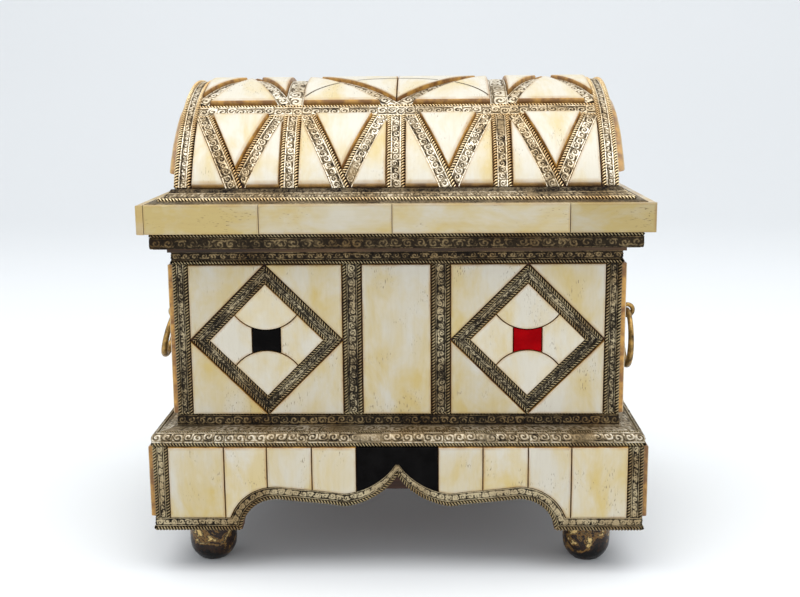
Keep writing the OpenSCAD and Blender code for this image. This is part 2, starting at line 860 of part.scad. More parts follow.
// Bands over the top of the dome: a cross on each side panel and a diamond on the middle panel
module top_band_outline() {
    side_in = column_x + column_w / 2;
    side_out = dome_half_w - edge_w - joint_w;
    slope = v_band * 0.62;
    for (s = [-1, 1]) {
        for (t = [-1, 1]) polygon([
            [s * side_in, t * top_low], [s * (side_in + slope * 1.4), t * top_low],
            [s * side_out, -t * top_low], [s * (side_out - slope * 1.4), -t * top_low]
        ]);
        for (t = [-1, 1]) polygon([
            [0, t * (top_low + 1)], [0, t * (top_low + 1 + v_band * 1.3)],
            [s * (column_x - column_w / 2), t * v_band * 0.65],
            [s * (column_x - column_w / 2), -t * v_band * 0.65]
        ]);
        rect([s * column_x - column_w / 2, top_low], [s * column_x + column_w / 2, -top_low]);
    }
}

module dome_strips() {
    dome_strip_set();
    scale([1, -1, 1]) dome_strip_set();
    color(metal_colour) intersection() {
        dome_shell(vault_r, dome_r, -90, 90);
        on_dome(top_mid) top_band_outline();
        dome_wedge(upper_start + 0.2, 179.8 - upper_start, -100, 100);
    }
}

module dome_edge_strips() {
    color(metal_colour) for (s = [-1, 1]) {
        intersection() {
            dome_shell(vault_r, dome_r, s > 0 ? edge_in : -edge_out, s > 0 ? edge_out : -edge_in);
            dome_wedge(foot_angle + 0.3, 179.7 - foot_angle, -100, 100);
        }
        intersection() {
            dome_shell(end_tile_r + wire_d + 2 * eps, vault_r - eps, s > 0 ? vault_half_w : -dome_half_w,
                s > 0 ? dome_half_w : -vault_half_w);
            above_frame(rim_high + flare_h + eps);
        }
        intersection() {
            dome_rod(end_tile_r - eps, s > 0 ? vault_half_w : -dome_half_w,
                s > 0 ? dome_half_w : -vault_half_w);
            translate([-150, -150, rim_high + flare_h + eps])
                cube([300, 300, end_low - joint_w - rim_high - flare_h]);
        }
    }
}

// Bone tiles of the dome's lower rows: one triangle inside each V and one on either side of it
module lower_tile_outline() {
    inside = v_slope * (row_high - v_tip) - joint_w;
    outside = (cell_half - v_foot) / v_slope;
    for (x = lower_cells) {
        polygon([
            [x, v_tip + joint_w / v_slope], [x + inside, row_high - joint_w], [x - inside, row_high - joint_w]
        ]);
        for (s = [-1, 1]) polygon([
            [x + s * (cell_half - joint_w), row_low], [x + s * (v_foot + joint_w), row_low],
            [x + s * (cell_half - joint_w), row_low + outside - 2 * joint_w / v_slope]
        ]);
    }
}

module dome_tiles_row() {
    color(bone_colour) intersection() {
        dome_shell(vault_r, tile_r, -88, 88);
        on_dome(lower_mid) lower_tile_outline();
        dome_wedge(foot_angle + 0.8, lower_end - 0.3, -100, 100);
    }
}

module dome_tiles_front() {
    dome_tiles_row();
}

module dome_tiles_back() {
    scale([1, -1, 1]) dome_tiles_row();
}

// Thin joints in the middle panel over the top: two arcs, and a straight one between them
module top_joints() {
    difference() {
        for (t = [-1, 1]) translate([0, t * top_arc_y]) difference() {
            circle(top_arc_r + joint_w / 2);
            circle(top_arc_r - joint_w / 2);
        }
        for (s = [-1, 1]) translate([s * (column_x + 60), 0]) square(120, center = true);
    }
    rect([-joint_w / 2, top_low], [joint_w / 2, -top_low]);
}

// Bone between the bands over the top of the dome
module dome_tiles_top() {
    gap = joint_w;
    color(bone_colour) intersection() {
        dome_shell(vault_r, tile_r, -dome_half_w + edge_w + gap, dome_half_w - edge_w - gap);
        difference() {
            dome_wedge(upper_start + 0.6, 179.4 - upper_start, -100, 100);
            on_dome(top_mid) {
                top_band_outline();
                translate([0, gap]) top_band_outline();
                translate([0, -gap]) top_band_outline();
                translate([gap, 0]) top_band_outline();
                translate([-gap, 0]) top_band_outline();
                top_joints();
            }
        }
    }
}

// Bone plates on the dome's two ends, jointed at the middle
module dome_tiles_ends() {
    color(bone_colour) for (s = [-1, 1], t = [-1, 1]) intersection() {
        dome_rod(end_tile_r, s > 0 ? vault_half_w : -dome_half_w - end_proud,
            s > 0 ? dome_half_w + end_proud : -vault_half_w);
        above_frame(end_low);
        translate([-150, t > 0 ? joint_w / 2 : -150 - joint_w / 2, 0]) cube([300, 150, 300]);
    }
}

// A wire over the dome from flare to flare, at a distance r from the dome's axis
module dome_wire_arc(x, r) {
    half_turn = 89.2 - asin((rim_high + flare_h + wire_d / 2 - dome_z) / r);
    translate([x, 0, dome_z]) rotate([0, -90, 0]) rotate_extrude(angle = 2 * half_turn, start = -half_turn)
        translate([r, 0]) circle(d = wire_d);
}

module lid_wires() {
    level = rim_low - wire_d / 2;
    color(wire_colour) {
        for (s = [-1, 1]) {
            for (at = [wire_d / 2, edge_w - wire_d / 2])
                dome_wire_arc(s * (dome_half_w - at), vault_r + wire_d / 2);
            dome_wire_arc(s * (vault_half_w + wire_d / 2), end_tile_r + wire_d / 2 + eps);
        }
        for (side = ["front", "back"]) on_side(side)
            flat_wire([-MW + 3, level], [MW - 3, level], MD - band_t + wire_d);
        for (side = ["left", "right"]) on_side(side)
            flat_wire([-MD + 3, level], [MD - 3, level], MW - band_t + wire_d);
    }
}

front_board();
back_board();
side_board("left");  // left_board
side_board("right");  // right_board
bottom_board();
plinth_apron("front");  // plinth_front
plinth_apron("back");  // plinth_back
plinth_apron("left");  // plinth_left
plinth_apron("right");  // plinth_right
plinth_flare();
corner_blocks();
foot("front_left");  // foot_front_left
foot("front_right");  // foot_front_right
foot("back_left");  // foot_back_left
foot("back_right");  // foot_back_right
body_top_edging();
body_top_band();
body_bottom_band();
body_corner_strips();
body_strips();
diamond_frames();
body_wires();
bone_front();
bone_back();
bone_side("left");  // bone_left
bone_side("right");  // bone_right
diamond_bone();
diamond_centres_black();
diamond_centres_red();
plinth_tiles_wide("front");  // plinth_tiles_front
plinth_tiles_wide("back");  // plinth_tiles_back
plinth_tiles_sides();
plinth_tiles_black();
plinth_bands();
plinth_scallop_bands();
plinth_wires();
handle_plates();
handle_eyes();
ring_handle("left");  // ring_left
ring_handle("right");  // ring_right
hinge_body_leaves();
hinge_lid_leaves();
hinge_pins();
hinge_body_screws();
hinge_lid_screws();
lid_frame();
lid_vault();
lid_end("left");  // lid_end_left
lid_end("right");  // lid_end_right
rim_bone();
rim_moulding();
lid_flare();
dome_strips();
dome_edge_strips();
lid_wires();
dome_tiles_front();
dome_tiles_back();
dome_tiles_top();
dome_tiles_ends();
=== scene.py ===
"""Looks of the inlaid casket: bone tiles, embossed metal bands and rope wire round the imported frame."""
import math
import bmesh
import bpy
import numpy as np
from mathutils import Matrix, Vector


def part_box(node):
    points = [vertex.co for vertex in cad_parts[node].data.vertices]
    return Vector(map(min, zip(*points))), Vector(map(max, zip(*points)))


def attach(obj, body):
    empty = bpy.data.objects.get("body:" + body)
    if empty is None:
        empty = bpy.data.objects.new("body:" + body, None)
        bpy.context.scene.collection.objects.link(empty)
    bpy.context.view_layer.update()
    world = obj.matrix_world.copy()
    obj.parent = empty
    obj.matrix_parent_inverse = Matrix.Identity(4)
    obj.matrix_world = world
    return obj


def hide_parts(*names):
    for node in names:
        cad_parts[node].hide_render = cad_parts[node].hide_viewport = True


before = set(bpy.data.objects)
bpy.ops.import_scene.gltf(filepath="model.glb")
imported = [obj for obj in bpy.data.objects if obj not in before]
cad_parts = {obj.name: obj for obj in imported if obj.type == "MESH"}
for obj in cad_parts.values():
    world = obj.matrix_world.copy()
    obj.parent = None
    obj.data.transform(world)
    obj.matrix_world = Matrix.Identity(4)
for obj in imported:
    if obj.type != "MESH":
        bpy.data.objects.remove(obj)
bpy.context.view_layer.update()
MM = 0.001


def corner(node, high=True):
    """Highest or lowest corner of a CAD node, in millimetres."""
    return [round(c / MM, 3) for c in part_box(node)[1 if high else 0]]


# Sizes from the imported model, in millimetres
W, D = corner("body_top_band")[:2]
BODY_TOP = corner("body_top_edging")[2]
PW, PD, PLINTH_TOP = corner("plinth_bands")
FOOT_H = corner("plinth_front", False)[2]
RW, RD = corner("rim_bone")[:2]
RIM_LOW = corner("rim_bone", False)[2] - 0.05
RIM_HIGH = corner("rim_bone")[2] - 0.6
MW, _, MOULDING_TOP = corner("rim_moulding")
DOME_HALF_W = corner("dome_edge_strips")[0]
VAULT_HALF_W, _, VAULT_TOP = corner("lid_vault")
PANEL_LOW, PANEL_HIGH = corner("bone_front", False)[2], corner("bone_front")[2]
TILE_TOP = corner("plinth_tiles_front")[2]
TILE_LOW = corner("plinth_tiles_front", False)[2]

# Sizes of the design that no box gives, in millimetres
BAND = 1.2  # metal sheet
PROUD, SIDE_PROUD, DOME_PROUD, END_PROUD = 1.2, 2.1, 2.3, 4.4  # bone past the metal: front, sides, dome, lid ends
WIRE = 1.8  # twisted rope
JOINT = 0.3  # gap between tiles
STRIP_W, CORNER_W, FRAME_W, EDGE_W = 8.3, 7.0, 6.0, 7.2  # widths of upright, corner, diamond and dome edge strips
STRIP_X, DIAMOND_X = 19.4, 57.3  # from the front's middle
CENTRE_HALF = 6.4  # black and red centres
ARC_SAG, ARC_R = 4.6, 17.3  # arcs that divide a diamond
DOME_R = 75.0
DOME_Z = VAULT_TOP - (DOME_R - BAND)
FOOT_ANGLE = math.radians(23.1)  # dome's lower edge, seen from its axis
LOWER_END, UPPER_START = math.radians(52.6), math.radians(58.8)  # belt between the dome's two rows
COLUMN_X, COLUMN_W = 46.2, 8.0  # bands between the dome's cells
V_FOOT, V_SLOPE, V_WIDTH = 4.3, 0.42, 6.9  # V bands: half of the foot, sideways for each 1 up, width
TOP_BAND = 5.6
TOP_ARC_R, TOP_ARC_Y = 50.0, 63.0  # thin arcs in the top diamond
END_R = DOME_R - 7.4
COVER_HALF_D = 69.0  # half of the dome's depth at its foot
COVER_TOP = 6.3  # lid cover's upper edge above the rim
END_LOW, END_FOOT = 5.6, 11.6  # metal and bone of the lid ends above the rim
RIM_BONE = 3.4
LEG_X, LOBE_R, LOBE_Z = 69.5, 15.5, 19.5  # plinth opening: inside of the leg, round shoulder
WAIST_X, WAIST_Z = 24.0, 31.7  # where its middle arch starts
ARCH_R, ARCH_IN = 31.3, 2.6
SCALLOP_W = 6.0
BLACK_HALF = 18.0
FOOT_IN = 21.6
HANDLE_X, HANDLE_Z = 112.7, 104.0
EYE_R, EYE_WIRE, RING_WIRE = 2.75, 2.2, 2.9
LEFT_RING_R, RIGHT_RING_R = 11.1, 13.7
LEFT_TILT = 15.0  # degrees by which the left ring stands out

SIDE_LEG = LEG_X * PD / PW
PANEL_MID = (PANEL_LOW + PANEL_HIGH) / 2
DIAMOND_R = (PANEL_HIGH - PANEL_LOW) / 2
INNER_R = DIAMOND_R - FRAME_W * math.sqrt(2)
SIDE_STRIP = DIAMOND_R + STRIP_W / 2 + JOINT
LOWER_MID = (FOOT_ANGLE + math.radians(1) + LOWER_END) / 2
ROW_LOW = DOME_R * math.tan(FOOT_ANGLE + math.radians(0.8) - LOWER_MID)
ROW_HIGH = DOME_R * math.tan(LOWER_END - LOWER_MID)
V_ACROSS = V_WIDTH * math.hypot(1, V_SLOPE)
V_TIP = ROW_LOW + (V_ACROSS - V_FOOT) / V_SLOPE
CELLS = [k * COLUMN_X for k in (-1.5, -0.5, 0.5, 1.5)]
CELL_HALF = (COLUMN_X - COLUMN_W) / 2
SIDES = ("front", "right", "back", "left")
GROUPS = ("front", "back", "sides")
SLOTS = {"lid_metal": "embossed_metal", "body_metal": "embossed_metal", "belt_metal": "embossed_metal",
         "rope_metal": "rope_wire", "dark_rope": "rope_wire"}


# ---------------------------------------------------------------- small tools

def chance(key, seed=0.0):
    """A repeatable number from 0 to 1 for each key."""
    return (np.sin(np.asarray(key, float) * 12.9898 + seed * 78.233 + 1.7) * 43758.5453) % 1.0


def wavy(x, y, seed):
    """Smooth unevenness from -1 to 1 over millimetre coordinates."""
    total = 0.0
    for i in range(4):
        turn = chance(i, seed) * 6.28
        total = total + np.sin((np.cos(turn) * x + np.sin(turn) * y) * (0.16 + 0.11 * i) + 6.28 * chance(i + 9, seed))
    return total / 4


def lerp(a, b, share):
    return np.asarray(a, float) + (np.asarray(b, float) - np.asarray(a, float)) * share


def distances(path):
    """How far along a path each of its points lies."""
    return np.concatenate([[0], np.cumsum(np.hypot(*np.diff(path, axis=0).T))])


def upright(x, low, high):
    return [[x, low], [x, high]]


def level(half, height):
    return [[-half, height], [half, height]]


def direction(a, b):
    """The direction from a to b, and the one to its left."""
    run = (b - a) / np.linalg.norm(b - a)
    return run, np.array([-run[1], run[0]])


def grid_faces(rows, columns, closed=False):
    """Quads between the points of a grid. closed joins each row's end to its start."""
    index = np.arange(rows * columns).reshape(rows, columns)
    onward = np.roll(index, -1, 1)
    quads = np.stack([index[:-1], onward[:-1], onward[1:], index[1:]], -1)
    return (quads if closed else quads[:, :-1]).reshape(-1, 4)


class Piece:
    """One mesh, gathered in millimetres from many patches, with values on its points."""

    def __init__(self, name, body, material, *nodes):
        self.name, self.body, self.material, self.nodes = name, body, material, nodes
        plain_name = material.name.partition(".")[0]  # Blender numbers a name that the frame already uses
        self.slot = SLOTS.get(plain_name, plain_name)
        self.points, self.loops, self.sizes, self.values, self.count = [], [], [], [], 0

    def add(self, points, faces, values):
        """faces is an array of quads, or a list of index lists. values maps a name to a number, or one per point."""
        points = np.asarray(points, float)
        self.points.append(points)
        if isinstance(faces, np.ndarray):
            self.loops.append(faces.ravel() + self.count)
            self.sizes.append(np.full(len(faces), faces.shape[1]))
        else:
            self.loops.append(np.array([i for f in faces for i in f]) + self.count)
            self.sizes.append(np.array([len(f) for f in faces]))
        self.values.append((len(points), values))
        self.count += len(points)

    def build(self, sharp=None):
        mesh = bpy.data.meshes.new(self.name)
        loops = np.concatenate(self.loops).astype(np.int32)
        sizes = np.concatenate(self.sizes).astype(np.int32)
        mesh.vertices.add(self.count)
        mesh.vertices.foreach_set("co", (np.concatenate(self.points) * MM).astype(np.float32).ravel())
        mesh.loops.add(len(loops))
        mesh.loops.foreach_set("vertex_index", loops)
        mesh.polygons.add(len(sizes))
        mesh.polygons.foreach_set("loop_start", np.concatenate([[0], np.cumsum(sizes)[:-1]]).astype(np.int32))
        mesh.polygons.foreach_set("use_smooth", np.ones(len(sizes), bool))
        mesh.update(calc_edges=True)
        mesh.validate()
        for name in self.values[0][1]:
            wide = np.ndim(self.values[0][1][name]) > 1
            column = [np.broadcast_to(v[name], (n, 3) if wide else (n,)) for n, v in self.values]
            layer = mesh.attributes.new(name, "FLOAT_VECTOR" if wide else "FLOAT", "POINT")
            layer.data.foreach_set("vector" if wide else "value", np.concatenate(column).astype(np.float32).ravel())
        if sharp:
            mesh.set_sharp_from_angle(angle=math.radians(sharp))
        mesh.materials.append(self.material)
        obj = bpy.data.objects.new(self.name, mesh)
        bpy.context.scene.collection.objects.link(obj)
        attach(obj, self.body)
        if self.nodes:
            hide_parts(*self.nodes)


def piece_group(name, body, material, nodes, parts=GROUPS):
    """A piece for each part of the casket. The first one replaces the CAD nodes of them all."""
    return {part: Piece(name + part, body, material, *(nodes if part == parts[0] else ())) for part in parts}


# ---------------------------------------------------------------- surfaces: (s across, t up, h outward)

def wide(side):
    return side in ("front", "back")


def stack(x, y, z):
    return np.stack(np.broadcast_arrays(x, y, z), -1)


def turned(side, x, y):
    for _ in range(SIDES.index(side)):
        x, y = -y, x
    return x, y


def flat(side, depth):
    """The upright plane of one side, at a depth from the centre."""
    def place(s, t, h):
        x, y = turned(side, s + 0 * h, -(depth + h) + 0 * s)
        return stack(x, y, t)
    return place


def moulded(side, profile):
    """A mitred moulding along one side. profile is (outward, height) points from low to high; s runs over the wide
    or narrow half of the body, and t is the distance along the profile."""
    half, depth = (W, D) if wide(side) else (D, W)
    pts = np.array(profile, float)
    along = distances(pts)
    slope = np.gradient(pts, along, axis=0)

    def place(s, t, h):
        out, up = np.interp(t, along, pts[:, 0]), np.interp(t, along, pts[:, 1])
        n_out, n_up = np.interp(t, along, slope[:, 1]), -np.interp(t, along, slope[:, 0])
        size = np.hypot(n_out, n_up)
        out, up = out + h * n_out / size, up + h * n_up / size
        x, y = turned(side, s * (half + out) / half, -(depth + out) + 0 * s)
        return stack(x, y, up)
    place.length, place.half = along[-1], half
    return place


def dome(mid, back=False):
    """The dome's band surface, drawn on the plane that touches it at an angle."""
    def place(s, t, h):
        angle = mid + np.arcsin(np.clip(t / DOME_R, -1, 1))
        y, z = -(DOME_R + h) * np.cos(angle), DOME_Z + (DOME_R + h) * np.sin(angle)
        return stack(-s, -y, z) if back else stack(s, y, z)
    return place


def dome_arc(s, t, h):
    """The dome's band surface, with t the distance up it from the front horizon."""
    angle = t / DOME_R
    return stack(s, -(DOME_R + h) * np.cos(angle), DOME_Z + (DOME_R + h) * np.sin(angle))


# ---------------------------------------------------------------- embossed bands and rope

def resample(path, step):
    path = np.asarray(path, float)
    along = distances(path)
    u = np.linspace(0, along[-1], max(2, int(along[-1] / step) + 1))
    return np.stack([np.interp(u, along, path[:, 0]), np.interp(u, along, path[:, 1])], -1), u


def ridge(distance, width):
    return np.exp(-(distance / width) ** 2)


def stamped(u, v, width, cell, seed, incised):
    """Height from 0 to 1 of hand-stamped scrollwork along a band between two lips. incised goes from raised curls on a
    dark ground (0) to thin dark lines in a bright one (1)."""
    u, v = u + 0.3 * wavy(1.6 * u, 2 * v, seed), v + 0.16 * wavy(2.2 * u, 2 * v, seed + 1)
    k = np.floor(u / cell)
    x = u - (k + 0.5) * cell + 0.4 * (chance(k, seed + 7) - 0.5)
    y = v * np.where(k % 2 == 0, 1, -1) * np.where(chance(k, seed) < 0.15, -1, 1)
    half = width / 2 - 0.45
    line = 0.24 + 0.03 * width
    dy = y + 0.2 * chance(k, seed + 2) * half
    away, turn = np.hypot(x, dy), np.arctan2(dy, x) / (2 * math.pi)
    reach = min(0.85 * half + 0.1, 0.42 * cell)
    pitch = max(1.1, 0.8 * reach)
    coil = ((away / pitch - turn + chance(k, seed + 9)) % 1 - 0.5) * pitch
    curl = ridge(coil, line) * np.clip((reach - away) / 0.25 + 0.5, 0, 1)
    leaf = ridge(y - 0.75 * half + 0.6 * (x / cell * 2) ** 2, line) * (np.abs(x) < 0.46 * cell)
    buds = ridge(np.hypot(np.abs(x) - cell / 2, y - 0.35 * half), 0.34)
    figure = np.clip(np.maximum(np.maximum(curl, leaf), buds), 0, 1) * (0.75 + 0.25 * chance(k + 31, seed))
    seam = ridge(np.abs(x) - cell / 2, 0.2) * (0.4 + 0.6 * chance(k, seed + 3))
    ground = (1 - incised) * figure + incised * (0.88 - 1.15 * np.maximum(figure, seam))
    lips = ridge(np.abs(v) - (width / 2 - 0.25), 0.2) * (0.75 + 0.25 * wavy(1.4 * u, v, seed + 5))
    groove = ridge(np.abs(v) - (width / 2 - 0.65), 0.22)
    return np.clip(np.maximum(ground * (1 - 0.85 * groove), lips * 0.85), 0, 1)


def band(piece, place, lower, upper, seed, depth=0.42, high=0.0, low=-1.0, cell=3.2, step=0.28, crown=0.12, plain=0.0,
         shade=1.0):
    """An embossed band between two edges, its motif running along the middle of it. shade scales its colour: below 1
    it darkens it, as painted shadow in the strip at the dome's foot and as a darker tone of the metal elsewhere; above
    1 it brightens it.
    """
    lower, upper = np.asarray(lower, float), np.asarray(upper, float)
    between = (lower + upper) / 2
    middle, u = resample(between, step)
    knots = distances(between)
    a, b = (np.stack([np.interp(u / u[-1], knots / knots[-1], edge[:, i]) for i in (0, 1)], -1)
            for edge in (lower, upper))
    tangent = np.stack([np.gradient(middle[:, 0], u), np.gradient(middle[:, 1], u)], -1)
    width = float(np.median(np.abs((b - a)[:, 0] * tangent[:, 1] - (b - a)[:, 1] * tangent[:, 0])))
    rows = max(5, int(width / step) + 1)
    across = np.concatenate([[0], np.linspace(0, 1, rows), [1]])
    flat_xy = a[None] + (b - a)[None] * across[:, None, None]
    away = flat_xy - middle[None]
    along = u[None] + away[..., 0] * tangent[:, 0] + away[..., 1] * tangent[:, 1]
    side = (across[:, None] - 0.5) * width + 0 * along
    count = max(1, round(u[-1] / cell))
    incised = 0.2
    if piece.material == LID_METAL:
        incised = np.clip(1.7 + 2 * wavy(along * 0.5, 0 * side, seed + 6), 0.1, 1)
    motif = stamped(along, side, width, u[-1] / count, seed, incised) * (1 - plain)
    dents = wavy(along, side * 2, seed + 3)
    h = high + depth * (motif - 0.3) + crown * (1 - (2 * side / width) ** 2) + 0.05 * dents
    # shade scales the colour here; in the strip at the dome's foot this darkening is painted shadow
    motif = np.clip((motif + 0.45 * plain) * shade, 0, 1)
    h[0], h[-1] = low, low
    motif[0], motif[-1] = 0, 0
    points = place(flat_xy[..., 0], flat_xy[..., 1], h).reshape(-1, 3)
    piece.add(points, grid_faces(len(across), len(u)), {"relief": motif.ravel()})


def rope(piece, place, path, seed, radius=0.9, high=0.0, lay=2.7):
    """Two strands of wire twisted together along a path on a surface."""
    pts, u = resample(path, 0.37)
    pts = pts + 0.05 * np.stack([wavy(u, 0 * u, seed), wavy(u, 0 * u, seed + 5)], -1)
    s, t, h = pts[:, 0], pts[:, 1], np.full(len(u), high) + 0.05 * wavy(u * 1.3, 0 * u, seed + 8)
    centre = place(s, t, h)
    run = np.gradient(centre, axis=0)
    run /= np.linalg.norm(run, axis=1)[:, None]
    up = place(s, t, h + 0.1) - centre
    up -= run * np.sum(up * run, axis=1)[:, None]
    up /= np.linalg.norm(up, axis=1)[:, None]
    out = np.cross(run, up)
    turns = np.radians([0, 38, 68, 90, 112, 142, 180, 218, 248, 270, 292, 322])
    reach = np.maximum(np.abs(np.cos(turns)) ** 0.7, 0.5)
    spin = (turns[None] + u[:, None] * 2 * math.pi / lay)[..., None]
    size = (radius * reach)[None, :, None] * (1 + 0.05 * wavy(u, 0 * u, seed + 2))[:, None, None]
    points = centre[:, None] + size * (np.cos(spin) * up[:, None] + np.sin(spin) * out[:, None])
    relief = np.broadcast_to(np.clip((reach - 0.62) / 0.38, 0, 1)[None], points.shape[:2])
    piece.add(points.reshape(-1, 3), grid_faces(len(u), len(turns), True)[:, ::-1], {"relief": relief.ravel()})


def strip(metal, cord, place, left, right, width, seed, ropes=(True, True), wire=WIRE, **shape):
    """A band with a rope along one or both edges, between two paths."""
    left, right = np.asarray(left, float), np.asarray(right, float)
    inset = [wire / width if on else 0.0 for on in ropes]
    band(metal, place, lerp(left, right, inset[0]), lerp(left, right, 1 - inset[1]), seed, **shape)
    radius = wire / 2 * (1.25 if cord.material == ROPE_METAL else 1.1)
    for on, share, s in ((ropes[0], wire / 2 / width, 1), (ropes[1], 1 - wire / 2 / width, 2)):
        if on:
            rope(cord, place, lerp(left, right, share), seed + s, radius=radius)


def corner_strip(metal, cord, place, half, s, low, high, seed, **shape):
    """An upright strip at one end (s is -1 or 1) of a side that reaches half from its middle."""
    edges = [upright(s * (half - CORNER_W), low, high), upright(s * (half - 0.05), low, high)]
    strip(metal, cord, place, *(edges if s < 0 else edges[::-1]), CORNER_W, seed, **shape)


def moulded_band(piece, side, profile, seed, **shape):
    """A band that covers a whole moulding."""
    place = moulded(side, profile)
    n, top = place.half, place.length
    band(piece, place, [[n, 0], [-n, 0]], [[n, top], [-n, top]], seed, **shape)


def moulded_rope(cord, side, out, height, seed, **shape):
    """A rope along one side, at a distance out from the body."""
    edge = moulded(side, [(out, height), (out, height + 1)])
    rope(cord, lambda s, t, h: edge(s, 0 * s, h), level(edge.half, 0), seed, **shape)


# ---------------------------------------------------------------- tiles

def offset(outline, inward):
    """The outline with each edge moved inward by its own distance; corners stay mitred."""
    p = np.asarray(outline, float)
    edge = np.roll(p, -1, 0) - p
    edge /= np.maximum(np.hypot(*edge.T), 1e-9)[:, None]
    n1 = np.stack([-edge[:, 1], edge[:, 0]], -1)
    n0 = np.roll(n1, 1, 0)
    d1 = np.broadcast_to(inward, (len(p),)).astype(float)
    d0 = np.roll(d1, 1)
    det = n0[:, 0] * n1[:, 1] - n0[:, 1] * n1[:, 0]
    straight = np.abs(det) < 0.12
    safe = np.where(straight, 1, det)
    move = np.stack([(d0 * n1[:, 1] - d1 * n0[:, 1]) / safe, (n0[:, 0] * d1 - n1[:, 0] * d0) / safe], -1)
    move[straight] = ((n0 + n1) / 2 * ((d0 + d1) / 2)[:, None])[straight]
    return p + move


# A tile's rings of points from its foot to its face: how far in, how far up, and how much of a wall
RING_IN = (0.0, 0.06, 0.28, 0.62, 1.0)
RING_UP = (0.0, 0.62, 0.86, 0.965, 1.0)
RING_WALL = (1.0, 1.0, 0.85, 0.2, 0.0)


def tile(piece, place, outline, low, high, seed, slope=0.35, fibre=(0, 1), tone=1.0, warm=(0.3, 0, 0), cut=4.0,
         hand=0.05, deep=0.0):
    """A slab with rounded edges. slope is how far each edge leans in from bottom to top; warm is how yellow the tile
    is, and how that changes across and up it; deep darkens its walls."""
    p = np.asarray(outline, float)
    slope = np.broadcast_to(slope, (len(p),)).astype(float)
    rings = [offset(p, slope * k) for k in RING_IN] + [offset(p, slope + 0.9)]
    ups = list(RING_UP) + [1.0]
    walls = list(RING_WALL) + [0.0]
    edges = [1.0] * len(RING_IN) + [0.0]
    bm = bmesh.new()
    wall, rim = bm.verts.layers.float.new("wall"), bm.verts.layers.float.new("edge")
    rows = []
    for ring, up, w, e in zip(rings, ups, walls, edges):
        row = []
        for q in ring:
            v = bm.verts.new((q[0], q[1], low + (high - low) * up))
            v[wall], v[rim] = w, e
            row.append(v)
        rows.append(row)
    n = len(p)
    for lower, upper in zip(rows, rows[1:]):
        for i in range(n):
            bm.faces.new((lower[i], lower[(i + 1) % n], upper[(i + 1) % n], upper[i]))
    bm.faces.new(rows[-1])
    first, last = p.min(0), p.max(0)
    for axis in (0, 1):
        count = int((last[axis] - first[axis]) / cut)
        for i in range(1, count + 1):
            at = [0, 0, 0]
            at[axis] = first[axis] + (last[axis] - first[axis]) * i / (count + 1)
            no = [1 - axis, axis, 0]
            bmesh.ops.bisect_plane(bm, geom=bm.verts[:] + bm.edges[:] + bm.faces[:], dist=1e-5, plane_co=at,
                                   plane_no=no)
    bmesh.ops.triangulate(bm, faces=[f for f in bm.faces if len(f.verts) > 4])
    bm.verts.index_update()
    co = np.array([v.co[:] for v in bm.verts])
    wall_at = np.array([v[wall] for v in bm.verts])
    edge_at = np.array([v[rim] for v in bm.verts])
    faces = [[v.index for v in f.verts] for f in bm.faces]
    bm.free()
    s, t = co[:, 0], co[:, 1]
    across = 2 * (s - first[0]) / max(last[0] - first[0], 1) - 1
    upward = 2 * (t - first[1]) / max(last[1] - first[1], 1) - 1
    h = co[:, 2] + (1 - wall_at) * hand * wavy(s * 1.2, t * 1.2, seed)
    yellow = np.clip(warm[0] + warm[1] * across + warm[2] * upward + 0.12 * wavy(s, t, seed + 4), 0, 1)
    grain = stack(s * fibre[0] + t * fibre[1], -s * fibre[1] + t * fibre[0], 0 * s + 53.0 * (seed % 97))
    values = {"wall": wall_at * (1 + deep), "edge": edge_at, "tone": tone, "warm": yellow, "grain": grain + 0 * co}
    piece.add(place(s, t, h), faces, values)


# ---------------------------------------------------------------- materials

